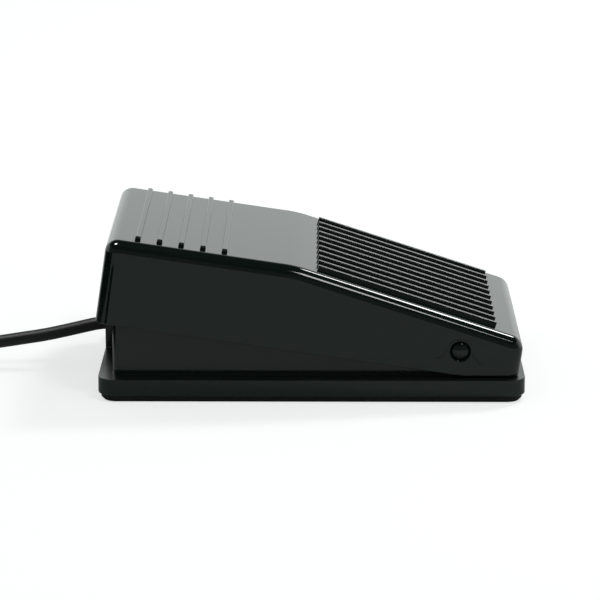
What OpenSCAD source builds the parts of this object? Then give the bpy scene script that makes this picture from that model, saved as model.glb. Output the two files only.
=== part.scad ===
// USB foot pedal switch: a rocking cover on a weighted base, a lever switch and a board
// under it, and a cord with a USB plug.
// Frame: the origin is on the floor under the middle of the base, +X runs to the hinged
// low end, +Y to the right-hand side of the user and +Z up. All lengths are in millimetres.
// The cover is drawn in its own frame, about the hinge axis, as if its lower edge were level.

/* [Base] */
// Length of the base plinth
base_l = 102; // [100:1:120]
// Width of the base plinth
base_w = 70; // [64:1:84]
// Corner radius of the plinth seen from above
base_corner_r = 4.5; // [3:0.5:8]
// Height of the plinth above the anti-slip pad
plinth_h = 4.2; // [3.8:0.1:6]
// Radius of the plinth's rounded lower edge
plinth_edge_r = 0.6; // [0.3:0.1:0.6]
// Thickness of the anti-slip pad
pad_t = 1.5; // [1:0.1:3]
// Distance of the pad's outline from the plinth's outline
pad_inset = 0.7; // [0.6:0.1:3]
// Width of the chamfer around the pad's lower edge
pad_chamfer = 0.8; // [0.3:0.1:0.9]
// Thickness of the steel weight plate
plate_t = 1.6; // [1:0.1:2]
// Width of the plinth's rim around the weight plate
rim_w = 4; // [3:0.5:6]
// Thickness of the floor above the weight plate
floor_t = 2.2; // [1.6:0.1:2.4]
// Thickness of the upstand's walls
wall_t = 2; // [1.6:0.1:2.6]
// Distance from the plinth's side to the upstand
upstand_side = 4.7; // [4.7:0.1:8]
// Distance from the plinth's rear end to the upstand
upstand_rear = 3.4; // [3.2:0.1:5]
// Distance from the plinth's front end to the upstand
upstand_front = 6.5; // [6:0.1:8]
// Corner radius of the upstand
upstand_corner_r = 2; // [1:0.1:4]
// How far the upstand reaches up behind the cover's skirt
upstand_lap = 2.5; // [1:0.1:3]

/* [Cover] */
// Distance from the hinge axis to the plinth's front end
hinge_setback = 15.6; // [14:0.1:18]
// Height of the hinge axis above the plinth
hinge_h = 6.55; // [6:0.05:8]
// Angle of the cover at rest
rest_tilt = 8.4; // [8.2:0.1:9.5]
// Angle that the cover turns through when it is pressed
press_angle = 8; // [7:0.1:8]
// Distance from the plinth's side to the cover
cover_side = 2.2; // [1.5:0.1:3]
// Distance from the plinth's front end to the cover, in line with the hinge
cover_front = 0.75; // [0.5:0.05:2]
// Distance that the cover's skirt reaches past the plinth's rear end
cover_overhang = 0.5; // [0:0.1:0.8]
// Height of the cover's flat top above the hinge axis
cover_top = 14.45; // [14:0.05:17]
// Distance from the hinge axis back to where the top starts to slope
slope_back = 41.7; // [36:0.1:46]
// Angle between the sloping front and the flat rear of the top
slope_angle = 9.8; // [8:0.1:10]
// Wall thickness of the cover
cover_wall = 2; // [1.6:0.1:2.4]
// Radius of the cover's rounded edges
cover_edge_r = 3; // [2:0.1:3.5]
// Gap under the skirt when its lower edge is level
skirt_gap = 0.65; // [0.5:0.05:1.2]
// Gap under the front of the skirt at rest
front_gap = 0.48; // [0.35:0.01:0.8]

/* [Tread] */
// Number of lengthwise ridges on the sloping front
ridge_n = 11; // [7:1:11]
// Spacing of the ridges
ridge_pitch = 5.37; // [5:0.01:5.5]
// Width of a ridge at its top
ridge_w = 1.1; // [0.9:0.1:2.2]
// Height of a ridge
ridge_h = 1.1; // [0.8:0.1:1.6]
// Length of the ridges
ridge_l = 44.8; // [36:0.1:46]
// Widening of a ridge from its top to its foot, on each side
ridge_draft = 0.15; // [0.1:0.05:0.5]
// Distance from the start of the slope to the ridges
ridge_start = 5.4; // [4:0.1:7]
// Number of ribs across the flat rear
rib_n = 5; // [3:1:6]
// Spacing of the ribs
rib_pitch = 5.2; // [4:0.1:6]
// Width of a rib at its top
rib_w = 1.2; // [0.8:0.1:1.6]
// Height of a rib
rib_h = 1; // [0.8:0.1:1.8]
// Length of the ribs
rib_l = 56; // [40:0.5:58]
// Distance from the cover's rear face to the first rib
rib_first = 7.3; // [5:0.1:9]
// Widening of a rib from its top to its foot, on each side
rib_draft = 0.1; // [0.05:0.05:0.5]

/* [Hinge pins] */
// Diameter of a hinge pin
pin_d = 4.2; // [3.6:0.1:4.6]
// Wall of the base around a hinge pin
ear_wall = 2.1; // [1.6:0.1:2.2]
// Running clearance of the pin in the cover, on the radius
pin_clear = 0.06; // [0.03:0.01:0.1]
// Width of the chamfer around the pin hole
pin_chamfer = 0.4; // [0.2:0.05:0.6]
// Gap between the cover's thrust ring and the upstand
thrust_gap = 0.3; // [0.2:0.05:0.5]

/* [Return spring] */
// Distance of the spring from the middle between the cord's end and the wire connector
spring_shift = 2.8; // [1:0.1:4]
// Outer diameter of the spring
spring_d = 11; // [9:0.5:12]
// Diameter of the spring wire
wire_d = 1; // [0.8:0.1:1.2]
// Number of curls
spring_curls = 8; // [6:1:9]
// Height of the spring at rest
spring_h = 26.4; // [25:0.1:27.5]

/* [Lever switch] */
// Distance from the hinge axis back to the lever's pivot
lever_back = 25.4; // [24:0.1:27]
// Distance from the hinge axis back to the cover's striker
striker_back = 39.4; // [38.5:0.1:40.5]
// Radius of the striker's round tip
striker_r = 1; // [0.6:0.1:1.4]
// Gap between the striker and the lever at rest
striker_gap = 0.3; // [0.2:0.05:0.5]
// Length of the lever from its pivot
lever_l = 17; // [16.5:0.1:18]
// Angle of the lever at rest
lever_rest = 20; // [19:0.5:21]
// Thickness of the lever
lever_t = 0.4; // [0.3:0.05:0.6]
// Width of the lever
lever_w = 3.4; // [2.4:0.1:3.6]
// Length of the switch housing
switch_l = 19.8; // [18.5:0.1:20.5]
// Width of the switch housing
switch_w = 6.4; // [6:0.1:8]
// Height of the switch housing
switch_h = 9.4; // [8:0.1:10]
// Height of the lever's pivot above the switch housing
pivot_h = 1.4; // [1.3:0.05:1.8]
// Distance from the lever's pivot to the plunger
plunger_back = 3.2; // [2.6:0.1:4]
// Width of the plunger
plunger_w = 2; // [1.4:0.1:2.4]

/* [Circuit board] */
// Length of the board
board_l = 40; // [38:1:42]
// Width of the board
board_w = 36; // [34:1:44]
// Thickness of the board
board_t = 1.6; // [1:0.1:2]
// Distance from the hinge axis back to the middle of the board
board_back = 29.4; // [29:0.1:30]
// Height of the posts under the board
post_h = 2.5; // [2.2:0.1:3]
// Distance of the screws from the board's ends
screw_in_x = 4; // [3.5:0.1:5]
// Distance of the screws from the board's sides
screw_in_y = 2.6; // [2.4:0.1:3]
// Thread diameter of the screws
screw_d = 2.2; // [2:0.1:2.6]

/* [Cord] */
// Diameter of the cord
cord_d = 3.2; // [3:0.1:3.4]
// Height of the cord's outlet above the floor
outlet_z = 11; // [10.8:0.1:11.4]
// Wall of the rubber grommet around the cord
grommet_wall = 0.7; // [0.5:0.1:0.9]
// Diameter of one inner wire
inner_wire_d = 0.9; // [0.7:0.1:1]
// Number of loops in the coil
coil_loops = 14.75; // [10.75:1:16.75]
// Radius of the coil at the middle of its turns
coil_r = 18; // [17:0.1:20]
// Distance between turns in one layer
coil_step = 3.75; // [3.7:0.05:4]
// Distance between layers
layer_step = 3.7; // [3.65:0.05:4]
// Thickness of the tie around the coil
tie_t = 0.6; // [0.4:0.1:1]
// Width of the tie
tie_w = 6; // [3:0.5:8]

/* [USB plug] */
// Length of the moulded grip
grip_l = 27; // [22:0.5:34]
// Width of the moulded grip
grip_w = 15.6; // [14.5:0.1:18]
// Thickness of the moulded grip
grip_t = 7.6; // [6.6:0.1:9]
// Length of the strain relief behind the grip
relief_l = 10; // [8:0.5:14]
// Width of the metal shell
shell_w = 12; // [11.8:0.1:12.2]
// Thickness of the metal shell
shell_h = 4.5; // [4.4:0.1:4.7]
// Length of the metal shell outside the grip
shell_l = 12; // [11:0.1:13]
// Sheet thickness of the metal shell
shell_t = 0.3; // [0.25:0.05:0.4]

/* [Hidden] */
$fn = 48;
hull_fn = 32;

// Small clearances: flat parts side by side, parts that slide into each other, pins and
// screws that are pressed in, and the overlap that fuses shapes of one piece
side_gap = 0.3;
slip_gap = 0.1;
press_gap = 0.02;
fuse = 0.5;
// Room for cuts that run out of a piece
over = 1;

// Levels of the base
plinth_top = pad_t + plinth_h;
plate_top = pad_t + plate_t;
floor_z = plate_top + floor_t;
hinge_x = base_l / 2 - hinge_setback;
hinge_z = plinth_top + hinge_h;
rear_x = -base_l / 2;
up_x0 = rear_x + upstand_rear;
up_x1 = base_l / 2 - upstand_front;
up_y = base_w / 2 - upstand_side;
ear_r = pin_d / 2 + ear_wall;
front_wall_z = hinge_z - pin_d / 4;

// The cover's own frame: x' along its lower edge and z' up, from the hinge axis
tilt_c = cos(rest_tilt);
tilt_s = sin(rest_tilt);
function own_x(x, z) = (x - hinge_x) * tilt_c - (z - hinge_z) * tilt_s;
function own_z(x, z) = (x - hinge_x) * tilt_s + (z - hinge_z) * tilt_c;
skirt_z = skirt_gap - hinge_h;
cover_x0 = (rear_x - cover_overhang - hinge_x - skirt_z * tilt_s) / tilt_c;
cover_x1 = hinge_setback - cover_front;
cover_y = base_w / 2 - cover_side;
function top_z(x) = cover_top - max(0, x + slope_back) * tan(slope_angle);
function under_z(x) = top_z(x) - cover_wall / (x > -slope_back ? cos(slope_angle) : 1);
// The skirt's lower edge turns level with the floor where it meets this line
function level_z(x) = (front_gap - hinge_h + x * tilt_s) / tilt_c;
level_from = (skirt_z * tilt_c - front_gap + hinge_h) / tilt_s;
skirt_rear_z = hinge_z + skirt_z * tilt_c - cover_x0 * tilt_s;
upstand_rear_z = skirt_rear_z + upstand_lap;
// Angle that is left under the cover when it is pressed down on its stops
pressed_tilt = rest_tilt - press_angle;
thrust_y = up_y + thrust_gap;

// Cord outlet at the rear
grommet_r = cord_d / 2 + grommet_wall;
outlet_wall = 0.7;
outlet_r = grommet_r + slip_gap;
outlet_top = outlet_z + outlet_r + outlet_wall;
outlet_y = outlet_r + 2 * outlet_wall;
notch_y = outlet_y + 2 * side_gap;
notch_z = outlet_top + 2 * side_gap - hinge_z + cover_x0 * sin(pressed_tilt);
screen_z = hinge_z + cover_top - cover_wall - side_gap * 2;

// Screws of the weight plate and the stops above them
plate_screw_in = 13;
plate_screw_y = 20;
plate_screw_xs = [rear_x + plate_screw_in, base_l / 2 - plate_screw_in];
stop_r = 3;
stop_h = 3;
stop_gap = 0.3;
stop_post_r = 2.5;
sink_r = 2.8;
sink_h = 1.4;
screw_r = screw_d / 2;
screw_bite = 4.4;
pad_hole_gap = 0.7;
pad_hole_r = sink_r + pad_hole_gap;

// Board
board_corner_r = 1;
board_x = hinge_x - board_back;
board_z = floor_z + post_h;
board_top = board_z + board_t;
post_r = 2.7;
screw_at = [for (sx = [-1, 1], sy = [-1, 1])
    [board_x + sx * (board_l / 2 - screw_in_x), sy * (board_w / 2 - screw_in_y)]];
head_r = 1.9;
head_h = 1.4;

// Switch
pivot_x = hinge_x - lever_back;
switch_top = board_top + switch_h;
pivot_z = switch_top + pivot_h;
pivot_in = 2.3;
switch_x1 = pivot_x + pivot_in;
switch_x0 = switch_x1 - switch_l;
axle_r = 0.5;
barrel_r = 0.8;
cheek_r = 1.2;
cheek_t = 1;
cheek_y = lever_w / 2 + slip_gap;
plunger_x = pivot_x - plunger_back;
// Middle of the plunger's round top, which lies under the lever with half the striker's gap
plunger_z = pivot_z + plunger_back * tan(lever_rest)
    - (plunger_w + lever_t + striker_gap) / 2 / cos(lever_rest);
plunger_depth = 4;
terminal_w = 1.2;
terminal_t = 0.6;
terminal_in = 2.5;
terminal_xs = [switch_x0 + terminal_in, (switch_x0 + switch_x1) / 2, switch_x1 - terminal_in];
// The striker sits on the lever's upper face, with its gap, at its own distance from the hinge
striker_off = lever_t / 2 + striker_r + striker_gap;
striker_x = hinge_x - striker_back;
striker_s = (pivot_x - striker_x + striker_off * sin(lever_rest)) / cos(lever_rest);
striker_z = pivot_z + striker_s * sin(lever_rest) + striker_off * cos(lever_rest);
striker_w = 2.4;

// Header and connector of the cord's four wires
header_l = 6.2;
header_w = 9.9;
header_h = 5;
header_wall = 0.8;
header_x = board_x - board_l / 2;
header_y = 8.2;
connector_l = 8.5;
connector_out = 4;
row_pitch = 2;
header_mid_z = board_top + header_h / 2;

// The routes below are chosen by hand: each step is a share of the way between two places
function between(from, to, step) = [for (i = [0:2]) from[i] + (to[i] - from[i]) * step[i]];

// Route of the four inner wires, which spread from a square bunch to a row
bunch_pitch = 1.3;
jacket_in = 2;
jacket_end = [up_x0 + wall_t + jacket_in, 0, outlet_z];
connector_end = [header_x - connector_out, header_y, header_mid_z];
wire_steps = [
    [0, 0, 0], [0.1, 0, 0], [0.22, 0.18, 0.22], [0.34, 0.59, 0.67], [0.45, 0.94, 1.1],
    [0.61, 1.1, 1.33], [0.77, 1.08, 1.22], [0.88, 1.01, 1.06], [1, 1, 1]
];
wire_route = [for (step = wire_steps) between(jacket_end, connector_end, step)];
// How far each point of that route is along the way from bunch to row
wire_spread = [0, 0, 0.1, 0.25, 0.4, 0.5, 0.65, 1, 1];

// Spring
spring_x = (jacket_end.x + connector_end.x) / 2 + spring_shift;
spring_back = hinge_x - spring_x;
spring_r = (spring_d - wire_d) / 2;
seat_post_r = spring_d / 2 - wire_d - 2 * side_gap;
seat_post_h = 4;
seat_rim = 0.8;
seat_r = spring_d / 2 + seat_rim;
seat_z = floor_z + spring_h + side_gap;
seat_mid_x = own_x(spring_x, hinge_z + cover_top + spring_back * tilt_s);

// Route of the cord from inside the housing to the coil, which its tie lifts off the floor
coil_out = 67;
coil_x = rear_x - coil_out;
coil_z = tie_t + side_gap + cord_d / 2;
coil_layers = 4;
outlet_mouth = [rear_x, 0, outlet_z];
run_steps = [
    [0, 0, 0], [0.045, 0, 0.045], [0.135, 0, 0.21], [0.225, 0, 0.365], [0.315, 0, 0.48],
    [0.4, 0, 0.585], [0.505, 0, 0.705], [0.61, 0, 0.81], [0.715, 0, 0.92], [0.82, 0, 0.985]
];
run_route = concat(
    [jacket_end, [up_x0, 0, outlet_z]],
    [for (step = run_steps) between(outlet_mouth, [coil_x, 0, coil_z], step)],
    [[coil_x + 2 * cord_d, 0, coil_z], [coil_x + cord_d, 0, coil_z]]
);
// Turns from one reversal of the spiral to the next, and the coil's outer and inner radius
layer_loops = coil_loops / coil_layers;
coil_outer = coil_r + layer_loops * coil_step / 2;
coil_inner = coil_r - layer_loops * coil_step / 2;
coil_y = -coil_outer;
loop_rings = 24;
function coil_radius(t) = let (k = floor(t / layer_loops), s = t - k * layer_loops)
    k % 2 == 0 ? coil_outer - s * coil_step : coil_inner + s * coil_step;
// The climb takes the half turn around each reversal
function climb(t) = min(1, max(0, 2 * t + 0.5));
function coil_height(t) = coil_z + layer_step * (
    climb(t - layer_loops) + climb(t - 2 * layer_loops) + climb(t - 3 * layer_loops));
function coil_point(t) = [
    coil_x + coil_radius(t) * cos(90 + 360 * t), coil_y + coil_radius(t) * sin(90 + 360 * t),
    coil_height(t)
];
coil_rings = round(coil_loops * loop_rings);
coil_turns = [for (i = [0:coil_rings]) coil_point(i / loop_rings)];
coil_end = [coil_x + coil_outer, coil_y, coil_z + (coil_layers - 1) * layer_step];
tail_start = coil_end + [0, cord_d, 0];
coil_path = concat([[coil_x + cord_d, 0, coil_z]], coil_turns, [tail_start]);
plug_in = 6;
plug_x = coil_x + plug_in;
plug_y = 18;
plug_z = grip_t / 2;
plug_end = [plug_x, plug_y, plug_z];
tail_steps = [
    [0, 0.145, 0.07], [0, 0.32, 0.245], [0, 0.495, 0.455], [0.05, 0.66, 0.65],
    [0.21, 0.825, 0.82], [0.47, 0.945, 0.94], [0.735, 0.99, 0.99]
];
tail_route = concat(
    [tail_start, tail_start + [0, cord_d / 2, 0]],
    [for (step = tail_steps) between(tail_start, plug_end, step)],
    [plug_end + [cord_d, 0, 0], plug_end]
);
// USB plug: where its grip ends, and the tongue inside its shell
plug_face = plug_x - relief_l - grip_l;
tongue_t = 1.8;
tongue_in = 1;
tongue_w = shell_w - 2 * shell_t - 2 * slip_gap;
tongue_z = plug_z - shell_h / 2 + shell_t + slip_gap;
// Least distance between two turns of the coil, less the cord's own diameter
apart = loop_rings / 2;
coil_gap = min([for (i = [0:coil_rings - apart])
    min([for (j = [i + apart:coil_rings]) norm(coil_turns[i] - coil_turns[j])])]) - cord_d;
function path_length(p) = len(p) < 2 ? 0 : [for (i = [1:len(p) - 1]) norm(p[i] - p[i - 1])]
    * [for (i = [1:len(p) - 1]) 1];
cord_length = path_length(run_route) + path_length(coil_path) + path_length(tail_route);
echo(coil_gap = coil_gap, cord_length = cord_length);
// Least distance between two curls of the spring
spring_step = (spring_h - wire_d) / spring_curls;
echo(spring_gap = spring_step - wire_d);

// A tube along a row of points, as one closed body of triangles
function unit(v) = v / norm(v);
function along(p, i) = unit(p[min(i + 1, len(p) - 1)] - p[max(i - 1, 0)]);
function ring(p, i, r, sides) = let (t = along(p, i), s = unit(cross(t, [0, 0, 1])), n = cross(s, t))
    [for (k = [0:sides - 1]) p[i] + r * (cos(360 * k / sides) * s + sin(360 * k / sides) * n)];
module tube(p, d, sides) {
    n = len(p);
    points = [for (i = [0:n - 1]) each ring(p, i, d / 2, sides)];
    walls = [for (i = [0:n - 2], k = [0:sides - 1]) let (a = i * sides, b = a + sides, q = (k + 1) % sides)
        each [[a + k, b + k, a + q], [a + q, b + k, b + q]]];
    first = [for (k = [1:sides - 2]) [0, k, k + 1]];
    end = (n - 1) * sides;
    last = [for (k = [1:sides - 2]) [end, end + k + 1, end + k]];
    polyhedron(points, concat(walls, first, last), convexity = 10);
}

// Rectangle with round corners, about its middle
module round_rect(l, w, r) {
    square([l - 2 * r, w], center = true);
    square([l, w - 2 * r], center = true);
    for (sx = [-1, 1], sy = [-1, 1]) translate([sx * (l / 2 - r), sy * (w / 2 - r)]) circle(r);
}

module round_plate(l, w, r, h) {
    linear_extrude(h) round_rect(l, w, r);
}

// Shape in the side view, drawn in x and z and as wide as asked about the middle
module side_shape(width) {
    rotate([90, 0, 0]) linear_extrude(width, center = true) children();
}

// Cross-section of the plinth, with its lower edges rounded
module plinth_section(width) {
    e = plinth_edge_r;
    translate([-width / 2, e]) square([width, plinth_h - e]);
    translate([e - width / 2, 0]) square([width - 2 * e, plinth_h]);
    for (s = [-1, 1]) translate([s * (width / 2 - e), e]) circle(e);
}

module plinth() {
    r = base_corner_r;
    rotate([90, 0, 0]) linear_extrude(base_w - 2 * r, center = true) plinth_section(base_l);
    rotate([90, 0, 90]) linear_extrude(base_l - 2 * r, center = true) plinth_section(base_w);
    for (i = [0:3]) {
        sx = i == 0 || i == 3 ? 1 : -1;
        sy = i < 2 ? 1 : -1;
        translate([sx * (base_l / 2 - r), sy * (base_w / 2 - r), 0]) rotate(90 * i)
            rotate_extrude(angle = 90) intersection() {
                plinth_section(2 * r);
                square([r, plinth_h]);
            }
    }
}

// Side view of the upstand: highest at the rear, rounded around the hinge, low at the front
module upstand_side_view() {
    polygon([
        [up_x0, pad_t + plinth_h / 2], [up_x0, upstand_rear_z],
        [hinge_x, hinge_z + ear_r - slip_gap], [hinge_x, pad_t + plinth_h / 2]
    ]);
    translate([hinge_x, hinge_z]) circle(ear_r);
    translate([hinge_x - ear_wall, pad_t + plinth_h / 2])
        square([up_x1 - hinge_x + ear_wall, front_wall_z - pad_t - plinth_h / 2]);
}

module upstand() {
    mid_x = (up_x0 + up_x1) / 2;
    intersection() {
        side_shape(2 * up_y) upstand_side_view();
        translate([mid_x, 0, 0]) round_plate(up_x1 - up_x0, 2 * up_y, upstand_corner_r, screen_z);
    }
}

// Room for the works inside the upstand
module inside(top) {
    l = up_x1 - up_x0 - 2 * wall_t;
    translate([(up_x0 + up_x1) / 2, 0, floor_z])
        linear_extrude(top - floor_z) square([l, 2 * (up_y - wall_t)], center = true);
}

// Boss at the rear that the cord leaves through, and the wall that closes the cover's notch behind it
module outlet() {
    boss_h = outlet_top - plinth_top + fuse;
    screen_y = notch_y + wall_t;
    translate([rear_x, -outlet_y, plinth_top - fuse])
        cube([upstand_rear + fuse, 2 * outlet_y, boss_h]);
    translate([up_x0, -screen_y, floor_z - fuse])
        cube([wall_t, 2 * screen_y, screen_z - floor_z + fuse]);
}

module base_housing() {
    color([0.07, 0.07, 0.075]) difference() {
        union() {
            difference() {
                union() {
                    translate([0, 0, pad_t]) plinth();
                    upstand();
                }
                inside(upstand_rear_z + over);
            }
            outlet();
            for (x = plate_screw_xs, s = [-1, 1])
                translate([x, s * plate_screw_y, floor_z - fuse]) cylinder(r = stop_r, h = stop_h + fuse);
            for (p = screw_at) translate([p.x, p.y, floor_z - fuse])
                cylinder(r = post_r, h = post_h + fuse);
            translate([spring_x, 0, floor_z - fuse]) cylinder(r = seat_post_r, h = seat_post_h + fuse);
            for (s = [-1, 1]) translate([hinge_x, s * (up_y - wall_t), hinge_z]) rotate([s * 90, 0, 0])
                translate([0, 0, -fuse]) cylinder(r = ear_r - side_gap, h = wall_t + fuse);
        }
        translate([0, 0, pad_t - over])
            round_plate(base_l - 2 * rim_w, base_w - 2 * rim_w, base_corner_r, plate_t + over);
        for (x = plate_screw_xs, s = [-1, 1])
            translate([x, s * plate_screw_y, pad_t])
                cylinder(r = screw_r + press_gap, h = plate_t + screw_bite + side_gap);
        for (p = screw_at) translate([p.x, p.y, board_z - screw_bite + side_gap])
            cylinder(r = screw_r + press_gap, h = screw_bite + over);
        translate([hinge_x, 0, hinge_z]) rotate([90, 0, 0])
            cylinder(r = pin_d / 2 + press_gap, h = base_w, center = true);
        translate([rear_x - over, 0, outlet_z]) rotate([0, 90, 0])
            cylinder(r = outlet_r, h = upstand_rear + wall_t + 2 * over);
    }
}

module weight_plate() {
    plate_l = base_l - 2 * rim_w - 2 * side_gap;
    plate_w = base_w - 2 * rim_w - 2 * side_gap;
    color([0.55, 0.56, 0.58]) difference() {
        translate([0, 0, pad_t]) round_plate(plate_l, plate_w, base_corner_r - side_gap, plate_t);
        for (x = plate_screw_xs, s = [-1, 1]) translate([x, s * plate_screw_y, pad_t]) {
            translate([0, 0, -over]) cylinder(r = screw_r + slip_gap, h = plate_t + 2 * over);
            cylinder(r1 = sink_r + slip_gap, r2 = screw_r + slip_gap, h = sink_h);
        }
    }
}

module plate_screws() {
    drive_r = 0.9;
    color([0.7, 0.7, 0.72]) for (x = plate_screw_xs, s = [-1, 1])
        translate([x, s * plate_screw_y, pad_t]) difference() {
            union() {
                cylinder(r1 = sink_r, r2 = screw_r, h = sink_h);
                cylinder(r = screw_r, h = plate_t + screw_bite);
            }
            for (a = [0, 90]) rotate(a) cube([2 * drive_r, 2 * drive_r / 4, sink_h], center = true);
        }
}

module anti_slip_pad() {
    l = base_l - 2 * pad_inset;
    w = base_w - 2 * pad_inset;
    r = base_corner_r - pad_inset;
    color([0.16, 0.16, 0.15]) difference() {
        hull() {
            translate([0, 0, pad_chamfer]) round_plate(l, w, r, pad_t - pad_chamfer);
            round_plate(l - 2 * pad_chamfer, w - 2 * pad_chamfer, r - pad_chamfer, pad_chamfer);
        }
        for (x = plate_screw_xs, s = [-1, 1]) translate([x, s * plate_screw_y, -over])
            cylinder(r = pad_hole_r, h = pad_t + 2 * over);
    }
}

// Hinge pin with a domed outer end, on the side given by its sign
module hinge_pin(side) {
    dome = 0.8;
    dome_r = (pin_d * pin_d / 4 + dome * dome) / (2 * dome);
    inner_y = up_y - 2 * wall_t;
    color([0.05, 0.05, 0.055]) translate([hinge_x, 0, hinge_z]) rotate([side * -90, 0, 0])
        translate([0, 0, inner_y]) {
            cylinder(r = pin_d / 2, h = cover_y - inner_y - dome / 2);
            intersection() {
                translate([0, 0, cover_y - inner_y + dome / 2 - dome_r]) sphere(dome_r);
                translate([0, 0, cover_y - inner_y - dome]) cylinder(r = pin_d / 2, h = 2 * dome);
            }
        }
}

module hinge_pin_left() {
    hinge_pin(-1);
}

module hinge_pin_right() {
    hinge_pin(1);
}

// The cover's outer form, with all its edges rounded and its corners running down past the skirt
module cover_form() {
    r = cover_edge_r;
    slope_mid = cover_x1 - r;
    tops = [
        [cover_x0 + r, cover_top - r],
        [-slope_back - r * tan(slope_angle / 2), cover_top - r],
        [slope_mid, top_z(slope_mid) - r / cos(slope_angle)]
    ];
    hull() for (s = [-1, 1]) {
        for (p = tops) translate([p.x, s * (cover_y - r), p.y]) sphere(r, $fn = hull_fn);
        for (x = [cover_x0 + r, cover_x1 - r])
            translate([x, s * (cover_y - r), skirt_z - over]) cylinder(r = r, h = over, $fn = hull_fn);
    }
}

// Side view of the hollow under the cover
module cover_hollow_view() {
    x0 = cover_x0 + cover_wall;
    x1 = cover_x1 - cover_wall;
    low = skirt_z - 2 * over;
    polygon([
        [x0, low], [x0, under_z(x0)], [-slope_back, under_z(-slope_back)], [x1, under_z(x1)], [x1, low]
    ]);
}

// Everything below the skirt's edge: level in the cover's own frame, then level with the floor at the front
module below_skirt() {
    x0 = cover_x0 - over;
    x1 = cover_x1 + over;
    low = skirt_z - 4 * over;
    side_shape(base_w) polygon([
        [x0, low], [x0, skirt_z], [level_from, skirt_z], [x1, level_z(x1)], [x1, low]
    ]);
}

// Section of a ridge or rib, with its foot sunk into the cover
module relief_section(width, height, draft) {
    foot = width / 2 + draft * (1 + fuse / height);
    polygon([[-foot, -fuse], [-width / 2, height], [width / 2, height], [foot, -fuse]]);
}

module ridges() {
    translate([-slope_back, 0, cover_top]) rotate([0, slope_angle, 0])
        for (i = [0:ridge_n - 1]) translate([ridge_start, (i - (ridge_n - 1) / 2) * ridge_pitch, 0])
            rotate([90, 0, 90]) linear_extrude(ridge_l) relief_section(ridge_w, ridge_h, ridge_draft);
}

module ribs() {
    for (i = [0:rib_n - 1]) translate([cover_x0 + rib_first + i * rib_pitch, 0, cover_top])
        rotate([90, 0, 0]) linear_extrude(rib_l, center = true) relief_section(rib_w, rib_h, rib_draft);
}

// Two stiffening ribs along the underside
module stiffeners() {
    rib_t = 1.4;
    rib_drop = 3;
    rib_y = 15.5;
    x0 = cover_x0 + rib_first;
    x1 = ear_r - cover_wall;
    xs = [x0, -slope_back, x1];
    line = concat(
        [for (x = xs) [x, under_z(x) + fuse]],
        [for (i = [2:-1:0]) [xs[i], under_z(xs[i]) - rib_drop]]
    );
    for (s = [-1, 1]) translate([0, s * rib_y, 0]) side_shape(rib_t) polygon(line);
}

// Posts that land on the base's stops when the cover is pressed right down
module stop_posts() {
    post_x = plate_screw_xs[0] - hinge_x;
    foot_z = floor_z + stop_h + stop_gap - hinge_z + post_x * sin(pressed_tilt);
    for (s = [-1, 1]) translate([post_x, s * plate_screw_y, foot_z])
        cylinder(r = stop_post_r, h = under_z(post_x) + fuse - foot_z);
}

// Rib that presses the switch lever, with a round edge
module striker() {
    x = own_x(striker_x, striker_z);
    z = own_z(striker_x, striker_z);
    translate([x, 0, z]) rotate([90, 0, 0]) cylinder(r = striker_r, h = striker_w, center = true);
    translate([x - striker_r, -striker_w / 2, z]) cube([2 * striker_r, striker_w, under_z(x) + fuse - z]);
}

// Seat for the top of the spring, flat on the spring when the cover is at rest
module spring_seat() {
    mid_z = hinge_z + (cover_top - cover_wall / 2) * tilt_c - seat_mid_x * tilt_s;
    translate([spring_x, 0, seat_z]) cylinder(r = seat_r, h = mid_z - seat_z);
    translate([spring_x, 0, seat_z - seat_post_h]) cylinder(r = seat_post_r, h = seat_post_h + fuse);
}

module pedal_cover() {
    bore_r = pin_d / 2 + pin_clear;
    thrust_mid = (thrust_y + cover_y - cover_wall / 2) / 2;
    color([0.06, 0.06, 0.065]) {
        translate([hinge_x, 0, hinge_z]) rotate([0, rest_tilt, 0]) difference() {
            union() {
                difference() {
                    cover_form();
                    side_shape(2 * (cover_y - cover_wall)) cover_hollow_view();
                }
                ridges();
                ribs();
                stiffeners();
                stop_posts();
                striker();
                rotate([0, -rest_tilt, 0]) translate([-hinge_x, 0, -hinge_z]) spring_seat();
                for (s = [-1, 1]) translate([0, s * thrust_mid, 0]) rotate([90, 0, 0])
                    cylinder(r = ear_r, h = 2 * (thrust_mid - thrust_y), center = true);
            }
            below_skirt();
            translate([cover_x0 - over, -notch_y, skirt_z - over])
                cube([cover_wall + 2 * over, 2 * notch_y, notch_z - skirt_z + over]);
            rotate([90, 0, 0]) cylinder(r = bore_r, h = base_w, center = true);
            for (s = [-1, 1]) translate([0, s * (cover_y - pin_chamfer), 0]) rotate([s * -90, 0, 0])
                cylinder(r1 = bore_r, r2 = bore_r + 2 * pin_chamfer, h = 2 * pin_chamfer);
        }
    }
}

module return_spring() {
    rings = 12;
    z0 = floor_z + wire_d / 2 + slip_gap;
    path = [for (i = [0:spring_curls * rings]) let (a = 360 * i / rings)
        [spring_x + spring_r * cos(a), spring_r * sin(a), z0 + spring_step * i / rings]];
    color([0.72, 0.73, 0.75]) tube(path, wire_d, 6);
}

module circuit_board() {
    color([0.1, 0.32, 0.16]) difference() {
        translate([board_x, 0, board_z]) round_plate(board_l, board_w, board_corner_r, board_t);
        for (p = screw_at) translate([p.x, p.y, board_z - over])
            cylinder(r = screw_r + side_gap, h = board_t + 2 * over);
        for (x = terminal_xs) translate([x, 0, board_z - over])
            cylinder(r = terminal_w / 2 + side_gap, h = board_t + 2 * over);
    }
}

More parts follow.
